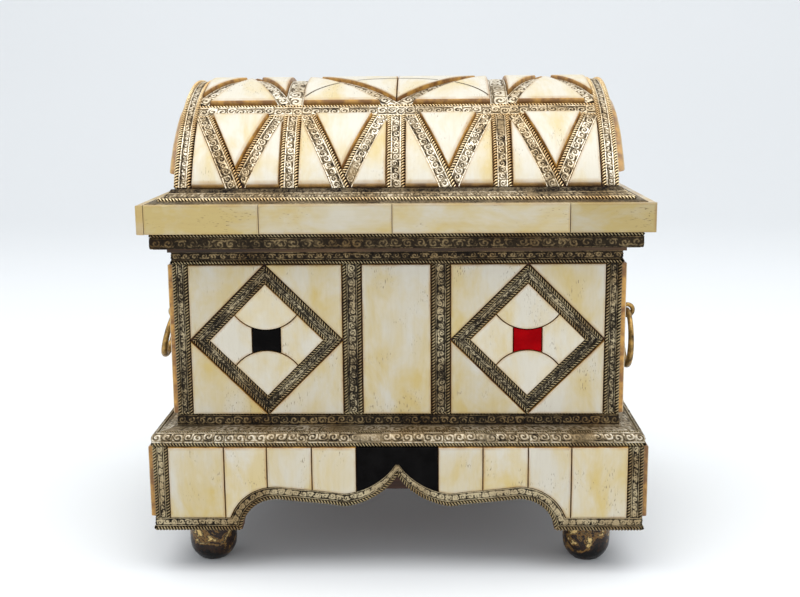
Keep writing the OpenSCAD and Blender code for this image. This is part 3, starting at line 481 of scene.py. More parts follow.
class Graph:
    """A node material with short calls for its usual nodes."""

    def __init__(self, name, **base):
        self.mat = bpy.data.materials.new(name)
        self.mat.use_nodes = True
        self.tree = self.mat.node_tree
        self.tree.nodes.clear()
        self.bsdf = self.tree.nodes.new("ShaderNodeBsdfPrincipled")
        out = self.tree.nodes.new("ShaderNodeOutputMaterial")
        self.tree.links.new(self.bsdf.outputs[0], out.inputs[0])
        for key, value in base.items():
            self.put(self.bsdf.inputs[key.replace("_", " ")], value)

    def put(self, socket, value):
        if isinstance(value, bpy.types.NodeSocket):
            self.tree.links.new(value, socket)
        elif isinstance(value, tuple) and len(value) == 3 and socket.type == "RGBA":
            socket.default_value = value + (1,)
        else:
            socket.default_value = value

    def attribute(self, name, vector=False):
        node = self.tree.nodes.new("ShaderNodeAttribute")
        node.attribute_name = name
        return node.outputs["Vector" if vector else "Fac"]

    def object_position(self):
        return self.tree.nodes.new("ShaderNodeTexCoord").outputs["Object"]

    def scaled(self, vector, size, shift=(0, 0, 0)):
        node = self.tree.nodes.new("ShaderNodeMapping")
        self.put(node.inputs["Vector"], vector)
        node.inputs["Scale"].default_value = size
        node.inputs["Location"].default_value = shift
        return node.outputs[0]

    def noise(self, vector, scale, detail=2.0, rough=0.5, distortion=0.0):
        node = self.tree.nodes.new("ShaderNodeTexNoise")
        self.put(node.inputs["Vector"], vector)
        for key, value in (("Scale", scale), ("Detail", detail), ("Roughness", rough), ("Distortion", distortion)):
            node.inputs[key].default_value = value
        return node.outputs[0]

    def math(self, op, a, b=0.0, clamp=False):
        node = self.tree.nodes.new("ShaderNodeMath")
        node.operation, node.use_clamp = op, clamp
        self.put(node.inputs[0], a)
        self.put(node.inputs[1], b)
        return node.outputs[0]

    def band(self, value, low, high, start=0.0, end=1.0):
        """value taken from low..high to start..end, kept inside."""
        node = self.tree.nodes.new("ShaderNodeMapRange")
        for i, v in enumerate((value, low, high, start, end)):
            self.put(node.inputs[i], v)
        return node.outputs[0]

    def ramp(self, value, stops):
        node = self.tree.nodes.new("ShaderNodeValToRGB")
        self.put(node.inputs[0], value)
        while len(node.color_ramp.elements) < len(stops):
            node.color_ramp.elements.new(0.5)
        for element, (at, colour) in zip(node.color_ramp.elements, stops):
            element.position, element.color = at, colour + (1,)
        return node.outputs[0]

    def mix(self, share, a, b, mode="MIX"):
        node = self.tree.nodes.new("ShaderNodeMix")
        node.data_type, node.blend_type = "RGBA", mode
        self.put(node.inputs[0], share)
        self.put(node.inputs[6], a)
        self.put(node.inputs[7], b)
        return node.outputs[2]

    def bump(self, height, strength, distance, normal=None):
        node = self.tree.nodes.new("ShaderNodeBump")
        node.inputs["Strength"].default_value = strength
        node.inputs["Distance"].default_value = distance
        self.put(node.inputs["Height"], height)
        if normal is not None:
            self.put(node.inputs["Normal"], normal)
        return node.outputs[0]

    def finish(self, colour, rough, normal=None):
        self.put(self.bsdf.inputs["Base Color"], colour)
        self.put(self.bsdf.inputs["Roughness"], rough)
        if normal is not None:
            self.put(self.bsdf.inputs["Normal"], normal)
        return self.mat


def srgb(r, g, b):
    return tuple(((c / 255 + 0.055) / 1.055) ** 2.4 if c > 10 else c / 3295 for c in (r, g, b))


def bone_material(name, pale, yellow, wall_light, wall_dark):
    """Bone with fibres and pores along its grain, stains, dirt at its edges and brown glue-stained walls."""
    g = Graph(name, Specular_IOR_Level=0.45)
    grain = g.attribute("grain", vector=True)
    warm, tone = g.attribute("warm"), g.attribute("tone")
    edge, wall = g.attribute("edge"), g.attribute("wall")
    cloud = g.noise(g.scaled(grain, (0.035, 0.06, 1)), 1.0, 4, 0.6, 0.4)
    fibre = g.noise(g.scaled(grain, (0.05, 0.7, 1)), 1.0, 4, 0.62, 0.3)
    fine = g.noise(g.scaled(grain, (0.3, 4.0, 1), (7, 3, 1)), 1.0, 2, 0.5)
    patch = g.noise(g.scaled(grain, (0.06, 0.09, 1), (31, 8, 2)), 1.0, 3, 0.55)
    speck = g.noise(g.scaled(grain, (0.5, 2.2, 1), (3, 17, 5)), 1.0, 1, 0.4)
    pores = g.math("MULTIPLY", g.band(speck, 0.63, 0.69), g.band(patch, 0.54, 0.64))
    stain = g.math("ADD", g.math("MULTIPLY", warm, 0.8), g.band(cloud, 0.34, 0.66, -0.4, 0.58), clamp=True)
    colour = g.mix(stain, pale, yellow)
    colour = g.mix(g.band(fibre, 0.45, 0.72, 0, 0.09), colour, srgb(196, 178, 136), "MULTIPLY")
    colour = g.mix(g.band(fine, 0.45, 0.8, 0, 0.06), colour, srgb(150, 124, 84))
    colour = g.mix(g.band(patch, 0.42, 0.3, 0, 0.3), colour, srgb(214, 208, 192))
    colour = g.mix(g.math("MULTIPLY", pores, 0.75), colour, srgb(84, 62, 38))
    grime = g.math("MULTIPLY", edge, g.band(patch, 0.35, 0.65, 0.1, 0.6))
    colour = g.mix(grime, colour, srgb(168, 128, 72))
    streak = g.noise(g.object_position(), 180, 3, 0.6)
    side = g.mix(g.band(streak, 0.4, 0.62), wall_dark, wall_light)
    side = g.mix(g.band(wall, 1.0, 1.8), side, tuple(c * 0.2 for c in wall_light))
    colour = g.mix(g.band(wall, 0.25, 0.8), colour, side)
    shade = g.tree.nodes.new("ShaderNodeHueSaturation")
    g.put(shade.inputs["Color"], colour)
    g.put(shade.inputs["Value"], tone)
    height = g.math("SUBTRACT", g.math("MULTIPLY", fine, 0.4), pores)
    rough = g.band(g.math("ADD", cloud, fine), 0.6, 1.4, 0.32, 0.5)
    return g.finish(shade.outputs[0], rough, g.bump(height, 0.3, 0.0001))


def metal_material(name, dark, mid, light, tint, uneven=1.0):
    """Stamped white metal: blackened in its hollows, rubbed bright on its ridges, with patches of tarnish."""
    g = Graph(name, Metallic=0.8, Specular_IOR_Level=0.5)
    place, relief = g.object_position(), g.attribute("relief")
    patches = g.noise(place, 80, 3, 0.6)
    chased = g.noise(place, 620, 3, 0.65, 1.2)
    grit = g.noise(place, 2200, 2, 0.6)
    unevenness = g.math("ADD", g.math("MULTIPLY", patches, 0.55), g.math("MULTIPLY", chased, 0.75))
    spots = g.band(unevenness, 0.35, 0.95, -0.28 * uneven, 0.36 * uneven)
    level = g.math("ADD", g.math("MULTIPLY", relief, 0.95), spots, clamp=True)
    colour = g.ramp(level, [(0.0, dark), (0.38, mid), (0.78, light)])
    colour = g.mix(g.band(g.noise(place, 42, 2, 0.5), 0.42, 0.66, 0, 0.7), colour, tint, "MULTIPLY")
    rough = g.band(g.math("ADD", level, g.math("MULTIPLY", grit, -0.4)), -0.2, 0.9, 0.66, 0.34)
    return g.finish(colour, rough, g.bump(g.math("ADD", g.math("MULTIPLY", chased, 1.5), grit), 0.4, 0.00016))


def wood_material(name, dark, light, gloss=0.55):
    """Board with long fibres across the casket and darker late wood."""
    g = Graph(name, Specular_IOR_Level=0.3)
    place = g.object_position()
    rings = g.noise(g.scaled(place, (14, 160, 160)), 1.0, 4, 0.6, 0.6)
    fibres = g.noise(g.scaled(place, (60, 1300, 1300)), 1.0, 2, 0.5)
    colour = g.mix(g.band(rings, 0.32, 0.68), dark, light)
    colour = g.mix(g.band(fibres, 0.4, 0.75, 0, 0.45), colour, tuple(c * 0.45 for c in dark))
    rough = g.band(fibres, 0.3, 0.8, gloss - 0.08, gloss + 0.2)
    return g.finish(colour, rough, g.bump(fibres, 0.4, 0.00015))


def resin_material(name, colour, marble, gloss):
    """Smooth hard inlay with a faint cloud in it and fine scratches."""
    g = Graph(name, Specular_IOR_Level=gloss)
    place = g.object_position()
    cloud = g.noise(place, 160, 3, 0.6)
    scratches = g.noise(g.scaled(place, (900, 900, 9000)), 1.0, 1, 0.5)
    rough = g.band(scratches, 0.3, 0.8, 0.2, 0.34)
    return g.finish(g.mix(g.band(cloud, 0.4, 0.75), colour, marble), rough, g.bump(cloud, 0.08, 0.0002))


def patina_material(name):
    """Turned feet: worn black and brown lacquer over gold."""
    g = Graph(name, Specular_IOR_Level=0.25, Coat_Weight=0.05, Coat_Roughness=0.12)
    place = g.object_position()
    parts = g.tree.nodes.new("ShaderNodeSeparateXYZ")
    g.put(parts.inputs[0], place)
    blotch = g.noise(g.scaled(place, (1, 1, 1.5)), 75, 3, 0.6, 1.0)
    fleck = g.noise(place, 480, 3, 0.6)
    golden = g.math("ADD", g.band(fleck, 0.3, 0.7, -0.08, 0.08), g.band(parts.outputs["Z"], 0.002, 0.013, -0.09, 0.08))
    colour = g.ramp(g.math("ADD", blotch, golden), [
        (0.4, srgb(5, 4, 3)), (0.47, srgb(44, 24, 10)), (0.52, srgb(8, 7, 5)), (0.57, srgb(128, 94, 46)),
        (0.61, srgb(16, 13, 9)), (0.67, srgb(214, 182, 116))])
    return g.finish(colour, g.band(fleck, 0.3, 0.7, 0.2, 0.45), g.bump(blotch, 0.35, 0.0006))


def aged_brass_material(name, dark, light):
    """Cast metal with tarnish in blotches and polished wear."""
    g = Graph(name, Metallic=0.8, Specular_IOR_Level=0.5)
    place, relief = g.object_position(), g.attribute("relief")
    blotch = g.noise(place, 260, 4, 0.62)
    fleck = g.noise(place, 1400, 2, 0.6)
    level = g.math("MULTIPLY", g.band(blotch, 0.32, 0.66), relief)
    colour = g.mix(level, dark, light)
    return g.finish(colour, g.band(fleck, 0.3, 0.7, 0.3, 0.52), g.bump(g.math("ADD", blotch, fleck), 0.3, 0.00018))


def plain_brass_material(name, dark, light):
    """The same tarnished metal for parts that carry no values on their points."""
    g = Graph(name, Metallic=0.8, Specular_IOR_Level=0.5)
    place = g.object_position()
    blotch, fleck = g.noise(place, 240, 4, 0.62), g.noise(place, 1400, 2, 0.6)
    colour = g.mix(g.band(blotch, 0.35, 0.65), dark, light)
    return g.finish(colour, g.band(fleck, 0.3, 0.7, 0.34, 0.56), g.bump(g.math("ADD", blotch, fleck), 0.3, 0.00015))


BONE = bone_material("bone", srgb(205, 199, 183), srgb(200, 177, 112), srgb(192, 144, 68), srgb(128, 86, 40))
LID_METAL = metal_material("lid_metal", srgb(22, 15, 8), srgb(148, 132, 104), srgb(246, 239, 222),
                           srgb(212, 190, 148), 0.75)
BODY_METAL = metal_material("body_metal", srgb(14, 12, 9), srgb(60, 52, 38), srgb(180, 166, 134),
                            srgb(170, 144, 102), 1.5)
BELT_METAL = metal_material("belt_metal", srgb(14, 10, 6), srgb(48, 38, 24), srgb(146, 126, 90),
                            srgb(180, 152, 106))
ROPE_METAL = metal_material("rope_metal", srgb(14, 8, 3), srgb(116, 90, 56), srgb(250, 228, 182),
                            srgb(204, 172, 122), 0.4)
DARK_ROPE = metal_material("dark_rope", srgb(6, 5, 3), srgb(60, 51, 36), srgb(164, 148, 112),
                           srgb(170, 136, 92), 0.8)
WOOD = wood_material("casket_wood", srgb(52, 27, 14), srgb(96, 54, 28))
EDGE_WOOD = wood_material("edging_wood", srgb(46, 30, 16), srgb(96, 68, 38), 0.45)
BLACK = resin_material("black_resin", srgb(8, 7, 7), srgb(16, 15, 15), 0.02)
RED = resin_material("red_resin", srgb(128, 0, 5), srgb(148, 2, 7), 0.02)
PATINA = patina_material("foot_patina")
BRASS = aged_brass_material("aged_brass", srgb(58, 42, 24), srgb(190, 152, 88))
HINGE_BRASS = plain_brass_material("hinge_brass", srgb(78, 60, 38), srgb(168, 144, 100))


# ---------------------------------------------------------------- outlines

def circle_points(cx, cy, r, start, end, step=5.0):
    count = max(2, int(abs(end - start) / step) + 1)
    turn = np.radians(np.linspace(start, end, count))
    return np.stack([cx + r * np.cos(turn), cy + r * np.sin(turn)], -1)


def diamond_crossing(r):
    """Angle below the horizontal at which a circle above the diamond's centre meets the diamond's edge."""
    low, high = -90.0, 0.0
    for _ in range(40):
        mid = (low + high) / 2
        x, y = r * math.cos(math.radians(mid)), ARC_SAG + ARC_R + r * math.sin(math.radians(mid))
        low, high = (mid, high) if x + y < INNER_R - 0.1 else (low, mid)
    return low


def diamond_pieces(middle):
    """Outlines round a diamond's centre: caps above and below, and a piece on either side."""
    far = INNER_R - 0.1
    inside, outside = ARC_R - JOINT / 2, ARC_R + JOINT / 2
    up = ARC_SAG + ARC_R
    a = diamond_crossing(inside)
    cap = np.concatenate([circle_points(0, up, inside, -180 - a, a), [[0, far]]])
    b = diamond_crossing(outside)
    at_middle = -math.degrees(math.acos(middle / outside))
    arc = circle_points(0, up, outside, b, at_middle)
    right = np.concatenate([[[far, 0]], arc, (arc * [1, -1])[::-1]])
    return cap, (cap * [1, -1])[::-1], right, (right * [-1, 1])[::-1]


def centre_outline():
    half, outside, up = CENTRE_HALF - JOINT, ARC_R + JOINT / 2, ARC_SAG + ARC_R
    at = math.degrees(math.acos(half / outside))
    top = circle_points(0, up, outside, -at, -180 + at, 4)
    return np.concatenate([top, (top * [1, -1])[::-1]])


def arch_top(x, leg, grow):
    """Height of the scalloped opening's edge at a distance x from its middle."""
    squeeze = leg / LEG_X
    lobe, waist, r = leg - LOBE_R, WAIST_X * squeeze, LOBE_R + grow
    x = np.abs(x)
    lobe_part = LOBE_Z + np.sqrt(np.maximum(r * r - (x - lobe) ** 2, 0))
    line = np.interp(x, [waist, waist + 4, lobe], [WAIST_Z + grow, WAIST_Z + 0.7 + grow, LOBE_Z + r])
    big, cx = ARCH_R * squeeze, waist + ARCH_IN
    arch = WAIST_Z + grow + 31.2 * squeeze - np.sqrt(np.maximum(big * big - (x - cx) ** 2, 0))
    return np.where(x < waist, arch, np.where(x < lobe, np.maximum(line, lobe_part), lobe_part))


def arch_path(leg, grow, low):
    """The opening's edge from its middle to the foot of the right leg, in even shares of each part."""
    lobe, r = leg - LOBE_R, LOBE_R + grow
    x = np.linspace(0, lobe, 60)
    end = math.degrees(math.asin(min(1, (low - LOBE_Z) / r)))
    return np.concatenate([np.stack([x, arch_top(x, leg, grow)], -1), circle_points(lobe, LOBE_Z, r, 88, end, 4)])


def plinth_tile(start, end, leg):
    x = np.linspace(start + JOINT / 2, end - JOINT / 2, max(3, int((end - start) / 1.6)))
    foot = np.maximum(arch_top(x, leg, SCALLOP_W), TILE_LOW)
    foot = np.where(np.abs(x) > leg + SCALLOP_W, TILE_LOW, foot)
    return np.concatenate([np.stack([x, foot], -1), [[end - JOINT / 2, TILE_TOP], [start + JOINT / 2, TILE_TOP]]])


def box_outline(x0, y0, x1, y1):
    return [[x0, y0], [x1, y0], [x1, y1], [x0, y1]]


# ---------------------------------------------------------------- body

def body_panels():
    """Bone, black and red inlay of the body's four sides."""
    bone = {s: Piece("bone_panels_" + s, "casket", BONE, "bone_" + s) for s in SIDES}
    inlay = Piece("diamond_inlay", "casket", BONE, "diamond_bone")
    black = Piece("black_centres", "casket", BLACK, "diamond_centres_black")
    red = Piece("red_centres", "casket", RED, "diamond_centres_red")
    r, gap, seed = DIAMOND_R, JOINT * math.sqrt(2), 10
    for side in SIDES:
        place = flat(side, D if wide(side) else W)
        proud = PROUD if wide(side) else SIDE_PROUD
        for cx in ((-DIAMOND_X, DIAMOND_X) if wide(side) else (0,)):
            middle = np.array([cx, PANEL_MID])
            for sx, sy in ((-1, 1), (1, 1), (-1, -1), (1, -1)):
                corner_tile = np.array([[r - 0.15, gap], [r - 0.15, r - 0.1], [gap, r - 0.1]]) * [sx, sy]
                corner_tile = corner_tile if sx * sy > 0 else corner_tile[::-1]
                seed += 1
                warm = (0.35 + 0.35 * chance(seed, 2), 0.4 * (chance(seed, 3) - 0.5), -0.3 * sy * chance(seed, 5))
                tile(bone[side], place, corner_tile + middle, -BAND, proud, seed, warm=warm, fibre=(0, 1),
                     tone=0.74 + 0.08 * chance(seed, 4))
            pieces = diamond_pieces(CENTRE_HALF if wide(side) else 0.15)
            for i, outline in enumerate(pieces):
                seed += 1
                upward = 0.5 if i == 2 else -0.1 if i == 3 else 0
                warm = (0.12 + 0.2 * chance(seed, 2), 0.25 if i == 2 else -0.1, upward)
                tile(inlay, place, outline + middle, -BAND, proud, seed, warm=warm, cut=6, slope=0.22,
                     tone=0.83 + 0.06 * chance(seed, 4))
            if wide(side):
                colour = black if cx < 0 else red
                tile(colour, place, centre_outline() + middle, -BAND, PROUD - 0.05, seed + 1, slope=0.2, hand=0.02)
        if wide(side):
            half = STRIP_X - STRIP_W / 2 - JOINT
            outline = box_outline(-half, PANEL_LOW + 0.1, half, PANEL_HIGH - 0.1)
            tile(bone[side], place, outline, -BAND, PROUD, seed + 50, warm=(0.3, 0.02, -0.22), tone=0.78)
        else:
            near, far = SIDE_STRIP + STRIP_W / 2 + JOINT, D - BAND - 0.05
            for s in (-1, 1):
                seed += 1
                first, last = sorted((s * near, s * far))
                outline = box_outline(first, PANEL_LOW + 0.1, last, PANEL_HIGH - 0.1)
                tile(bone[side], place, outline, -BAND, proud, seed, warm=(0.35, 0, 0.1), slope=0.2)
    for piece in (*bone.values(), inlay, black, red):
        piece.build(sharp=40)


def body_bands():
    """Embossed strips, diamond frames, ropes and belts of the body."""
    metal = piece_group("body_bands_", "casket", BODY_METAL, ("body_strips", "body_corner_strips", "diamond_frames"))
    cord = piece_group("body_ropes_", "casket", DARK_ROPE, ("body_wires",))
    belts = Piece("body_belts", "casket", BELT_METAL, "body_top_band", "body_bottom_band")
    seed = 100
    low, high = PANEL_LOW, PANEL_HIGH
    for side in SIDES:
        group = side if wide(side) else "sides"
        m, c = metal[group], cord[group]
        half, depth = (W, D) if wide(side) else (D, W)
        place = flat(side, depth)
        for x in ((-STRIP_X, STRIP_X) if wide(side) else (-SIDE_STRIP, SIDE_STRIP)):
            seed += 10
            a, b = x - STRIP_W / 2, x + STRIP_W / 2
            strip(m, c, place, upright(b, low, high), upright(a, low, high), STRIP_W, seed)
        for s in ((-1, 1) if wide(side) else ()):
            seed += 10
            corner_strip(m, c, place, half, s, low, high, seed)
        for cx in ((-DIAMOND_X, DIAMOND_X) if wide(side) else (0,)):
            for k in range(4):
                seed += 10
                turn = math.pi / 2 * k
                ends = [np.array([math.cos(turn + e), math.sin(turn + e)]) for e in (0, math.pi / 2)]
                mid = np.array([cx, PANEL_MID])
                far, near = DIAMOND_R - 0.2, INNER_R
                strip(m, c, place, [mid + near * ends[0], mid + near * ends[1]],
                      [mid + far * ends[0], mid + far * ends[1]], FRAME_W, seed, wire=1.5)
        rope(c, place, level(half - 0.6, PANEL_HIGH + WIRE / 2), seed + 3)
        rope(c, place, level(half - 0.6, PANEL_LOW + 0.2), seed + 4, radius=0.7, high=-0.35)
        moulded_band(belts, side, [(0, PANEL_HIGH + WIRE), (0, BODY_TOP - 2)], seed + 5, cell=4.2)
        moulded_band(belts, side, [(0.35, PANEL_LOW - 5.3), (0.2, PANEL_LOW - 4), (0, PANEL_LOW - 0.5)], seed + 6,
                     cell=4.2)
    for piece in (*metal.values(), *cord.values(), belts):
        piece.build()


# ---------------------------------------------------------------- plinth

def plinth():
    """Bone and black tiles, the scalloped bands and the ledge between the plinth and the body."""
    tiles = {g: Piece("plinth_bone_" + g, "casket", BONE, "plinth_tiles_" + g) for g in GROUPS}
    black = Piece("plinth_black", "casket", BLACK, "plinth_tiles_black")
    bands = Piece("plinth_belts", "casket", LID_METAL, "plinth_bands", "plinth_flare")
    scallops = Piece("plinth_scallops", "casket", BODY_METAL, "plinth_scallop_bands")
    cord = Piece("plinth_ropes", "casket", DARK_ROPE, "plinth_wires")
    out = PW - W
    # from the foot of the rolled edge up over it and back along the ledge to the body
    roll = [(out + 0.05, TILE_TOP + WIRE), (out + 0.1, PLINTH_TOP - 1.6), (out - 0.1, PLINTH_TOP - 0.7),
            (out - 0.8, PLINTH_TOP + 0.1), (out - 1.9, PLINTH_TOP + 0.45)]
    ledge = [(out - 2.7, PLINTH_TOP + 0.5), (out / 2, PLINTH_TOP + 0.8), (0.3, PLINTH_TOP + 1.6)]
    seed = 400
    for side in SIDES:
        half, depth, leg = (PW, PD, LEG_X) if wide(side) else (PD, PW, SIDE_LEG)
        place = flat(side, depth)
        joints = ([37.6, 57.4, 76.3] if wide(side) else [27.0, 44.0, 61.5])
        proud = PROUD if wide(side) else SIDE_PROUD
        edges = [BLACK_HALF * leg / LEG_X] + joints + [half - (CORNER_W if wide(side) else BAND + 0.05)]
        group = side if wide(side) else "sides"
        for a, b in zip(edges, edges[1:]):
            for start, end in ((a, b), (-b, -a)):
                seed += 1
                outline = plinth_tile(start, end, leg)
                slope = np.full(len(outline), 0.3)
                slope[-2] = 0.75
                warm = (0.14 + 0.4 * chance(seed, 7), 0.3 * (chance(seed, 8) - 0.5), -0.2 * chance(seed, 9))
                tile(tiles[group], place, outline, -BAND, proud, seed, slope=slope, warm=warm,
                     tone=0.79 + 0.07 * chance(seed, 6))
        middle = BLACK_HALF * leg / LEG_X
        tile(black, place, plinth_tile(-middle, middle, leg), -BAND, proud - 0.1, seed + 2, slope=0.3, hand=0.02)
        moulded_band(bands, side, roll, seed + 1, cell=4.2, step=0.38, shade=0.75)
        moulded_band(bands, side, ledge, seed + 2, cell=6.0, depth=0.25, step=0.38, plain=0.3, shade=0.75)
        moulded_rope(cord, side, out - 2.3, PLINTH_TOP + 0.7, seed + 3, radius=0.45, lay=2.0)
        rope(cord, place, level(half - 0.3, TILE_TOP + WIRE / 2 + 0.05), seed + 4, high=-0.05)
        for s in (-1, 1):
            seed += 7
            if wide(side):
                corner_strip(scallops, cord, place, half, s, TILE_LOW, TILE_TOP, seed, shade=1.5)
            lower, upper = arch_path(leg, 0, FOOT_H), arch_path(leg, SCALLOP_W - JOINT, TILE_LOW - JOINT)
            share = np.linspace(0, 1, max(len(lower), len(upper)))
            even = [np.stack([np.interp(share, np.linspace(0, 1, len(p)), p[:, i]) for i in (0, 1)], -1)
                    for p in (lower, upper)]
            under_leg = [np.array([[leg, FOOT_H], [half - 0.3, FOOT_H]]),
                         np.array([even[1][-1], [half - 0.3, TILE_LOW - JOINT]])]
            for pair in (even, under_leg):
                seed += 5
                pair = [(edge * [s, 1])[::s] for edge in pair]
                strip(scallops, cord, place, *pair, SCALLOP_W - 0.3, seed, ropes=(True, False), shade=1.6)
    for piece in tiles.values():
        piece.build(sharp=40)
    black.build(sharp=40)
    for piece in (bands, scallops, cord):
        piece.build()


def lathe(piece, to_world, profile, steps, seed, uneven=0.0, relief=1.0, flute=None):
    """A turned shape from (radius, height) points."""
    profile = np.asarray(profile, float)
    turn = np.linspace(0, 2 * math.pi, steps, endpoint=False)
    r, height = profile[:, :1], profile[:, 1:]
    r = r * (1 + uneven * wavy(8 * np.cos(turn)[None], height + 8 * np.sin(turn)[None], seed))
    z = height + 0 * r
    shade = np.full(r.shape, relief)
    if flute is not None:
        lift = flute(r, turn[None])
        z, shade = z + lift, np.clip(shade + lift - 0.15, 0, 1)
    points = to_world(r * np.cos(turn), r * np.sin(turn), z)
    piece.add(points.reshape(-1, 3), grid_faces(*r.shape, True), {"relief": shade.ravel()})
    piece.add(points[0], [list(range(steps))[::-1]], {"relief": relief})
    piece.add(points[-1], [list(range(steps))], {"relief": relief})


def feet():
    """Four turned feet."""
    names = {(-1, -1): "front_left", (1, -1): "front_right", (-1, 1): "back_left", (1, 1): "back_right"}
    profile = [(5.2, 0), (6.4, 0.25), (7.6, 1.3), (9.1, 3.1), (10.1, 5.0), (10.5, 6.6), (10.7, 8.5), (10.78, 12),
               (10.75, 16), (10.7, FOOT_H + 0.1)]
    fine, _ = resample(profile, 0.6)
    for (sx, sy), name in names.items():
        piece = Piece("turned_" + name, "casket", PATINA, "foot_" + name)
        cx, cy = sx * (PW - FOOT_IN), sy * (PD - FOOT_IN)
        lathe(piece, lambda x, y, z: stack(cx + x, cy + y, z), fine, 72, sx + 2 * sy, uneven=0.006)
        piece.build(sharp=45)


# ---------------------------------------------------------------- handles

def torus(piece, to_world, ring, wire, seed, joint=None, taper=0.0, steps=120, around=20):
    """A ring of round wire, a little uneven and thicker below by its taper, with a dark joint line across it."""
    turn = np.linspace(0, 2 * math.pi, steps, endpoint=False)[:, None]
    section = np.linspace(0, 2 * math.pi, around, endpoint=False)[None]
    r = wire / 2 * (1 + 0.04 * wavy(14 * np.cos(turn), 14 * np.sin(turn), seed) - taper * np.sin(turn))
    shade = np.ones((steps, around))
    if joint is not None:
        gap = ridge((turn - joint + math.pi) % (2 * math.pi) - math.pi, 0.03)
        r, shade = r * (1 - 0.16 * gap), shade * (1 - 0.9 * gap)
    x = (ring + r * np.cos(section)) * np.cos(turn)
    y = (ring + r * np.cos(section)) * np.sin(turn)
    z = r * np.sin(section) + 0 * x
    index = np.arange(steps * around).reshape(steps, around)
    nxt = np.roll(index, -1, 0)
    faces = np.stack([index, nxt, np.roll(nxt, -1, 1), np.roll(index, -1, 1)], -1).reshape(-1, 4)
    piece.add(to_world(x, y, z).reshape(-1, 3), faces, {"relief": shade.ravel()})


def handles():
    """A fluted boss, an eye and a ring on each narrow side."""
    plates = Piece("handle_bosses", "casket", BODY_METAL, "handle_plates")
    eyes = Piece("handle_loops", "casket", BRASS, "handle_eyes")
    start = W + SIDE_PROUD
    profile = [(8.5, 0), (8.6, 0.5), (8.4, 0.95), (7.8, 1.15), (7.1, 0.95), (6.4, 1.0), (6.1, 1.3), (5.9, 1.9),
               (5.2, 2.9), (4.2, 3.8), (3.5, 4.2), (3.3, 4.5), (3.5, 4.9), (3.1, 5.4), (2.2, 5.7), (1.5, 6.2),
               (1.35, 7.0)]
    fine, _ = resample(profile, 0.3)

    def petals(r, turn):
        return 0.22 * np.cos(14 * turn) * ridge(r - 7.2, 1.1) + 0.15 * np.cos(10 * turn) * ridge(r - 5, 0.9)
    for s in (-1, 1):
        def outward(a, b, z, s=s):
            return stack(s * (start + z), s * b, HANDLE_Z + a)
        lathe(plates, outward, fine, 96, 3 + s, relief=0.5, flute=petals)
        lathe(eyes, outward, [(1.15, 6.0), (1.1, 7.2), (1.1, HANDLE_X - start - EYE_R)], 20, 4, relief=0.35)
        torus(eyes, lambda x, y, z, s=s: stack(s * HANDLE_X + x, -z, HANDLE_Z + y), EYE_R, EYE_WIRE, 6, steps=48,
              around=16)
        name = "left" if s < 0 else "right"
        ring = Piece("pull_ring_" + name, "ring_" + name, BRASS, "ring_" + name)
        tilt = Matrix.Rotation(math.radians(LEFT_TILT if s < 0 else 0), 3, "Y")
        r = LEFT_RING_R if s < 0 else RIGHT_RING_R

        def hang(x, y, z, s=s, r=r, tilt=np.array(tilt)):
            local = stack(z, x, y - r) @ tilt.T
            return local + np.array([s * HANDLE_X, 0, HANDLE_Z])
        torus(ring, hang, r, RING_WIRE, 8 + s, joint=math.radians(-35), taper=0.18)
        ring.build()
    plates.build()
    eyes.build()


# ---------------------------------------------------------------- lid

def rim():
    """Bone strips round the lid's rim; each side's left end butts against the next side."""
    bone = Piece("rim_strips", "lid", BONE, "rim_bone")
    joints = {"front": [-57.7, -1.2, 73.7], "back": [-60, 8, 66], "left": [-20, 34], "right": [-31, 22]}
    looks = {"front": [((1.0, -0.5, -0.2), 0.71), ((0.66, 0.05, 0), 0.74), ((0.6, 0, 0), 0.75), ((1.0, 0.0, 0), 0.62)],
             "left": [((1.0, 0, 0), 0.8)] * 3}
    seed = 700
    for side in SIDES:
        half, depth = (RW, RD) if wide(side) else (RD, RW)
        edges = [RIM_BONE - half] + joints[side] + [half]
        for i, (a, b) in enumerate(zip(edges, edges[1:])):
            seed += 1
            warm, tone = (0.5 * chance(i, 6), 0.1, 0), 0.9 + 0.08 * chance(i, 3)
            if side in looks:
                warm, tone = looks[side][i]
            slope = [0.3, 0.9 if b == half else 0.06, 0.3, 0.06]
            outline = box_outline(a + JOINT / 3, RIM_LOW + 0.05, b - (JOINT / 3 if b < half else 0), RIM_HIGH + 0.6)
            tile(bone, flat(side, depth), outline, -RIM_BONE + 0.05, 0, seed, slope=slope, fibre=(1, 0), warm=warm,
                 tone=tone, deep=-0.78)
    bone.build(sharp=40)


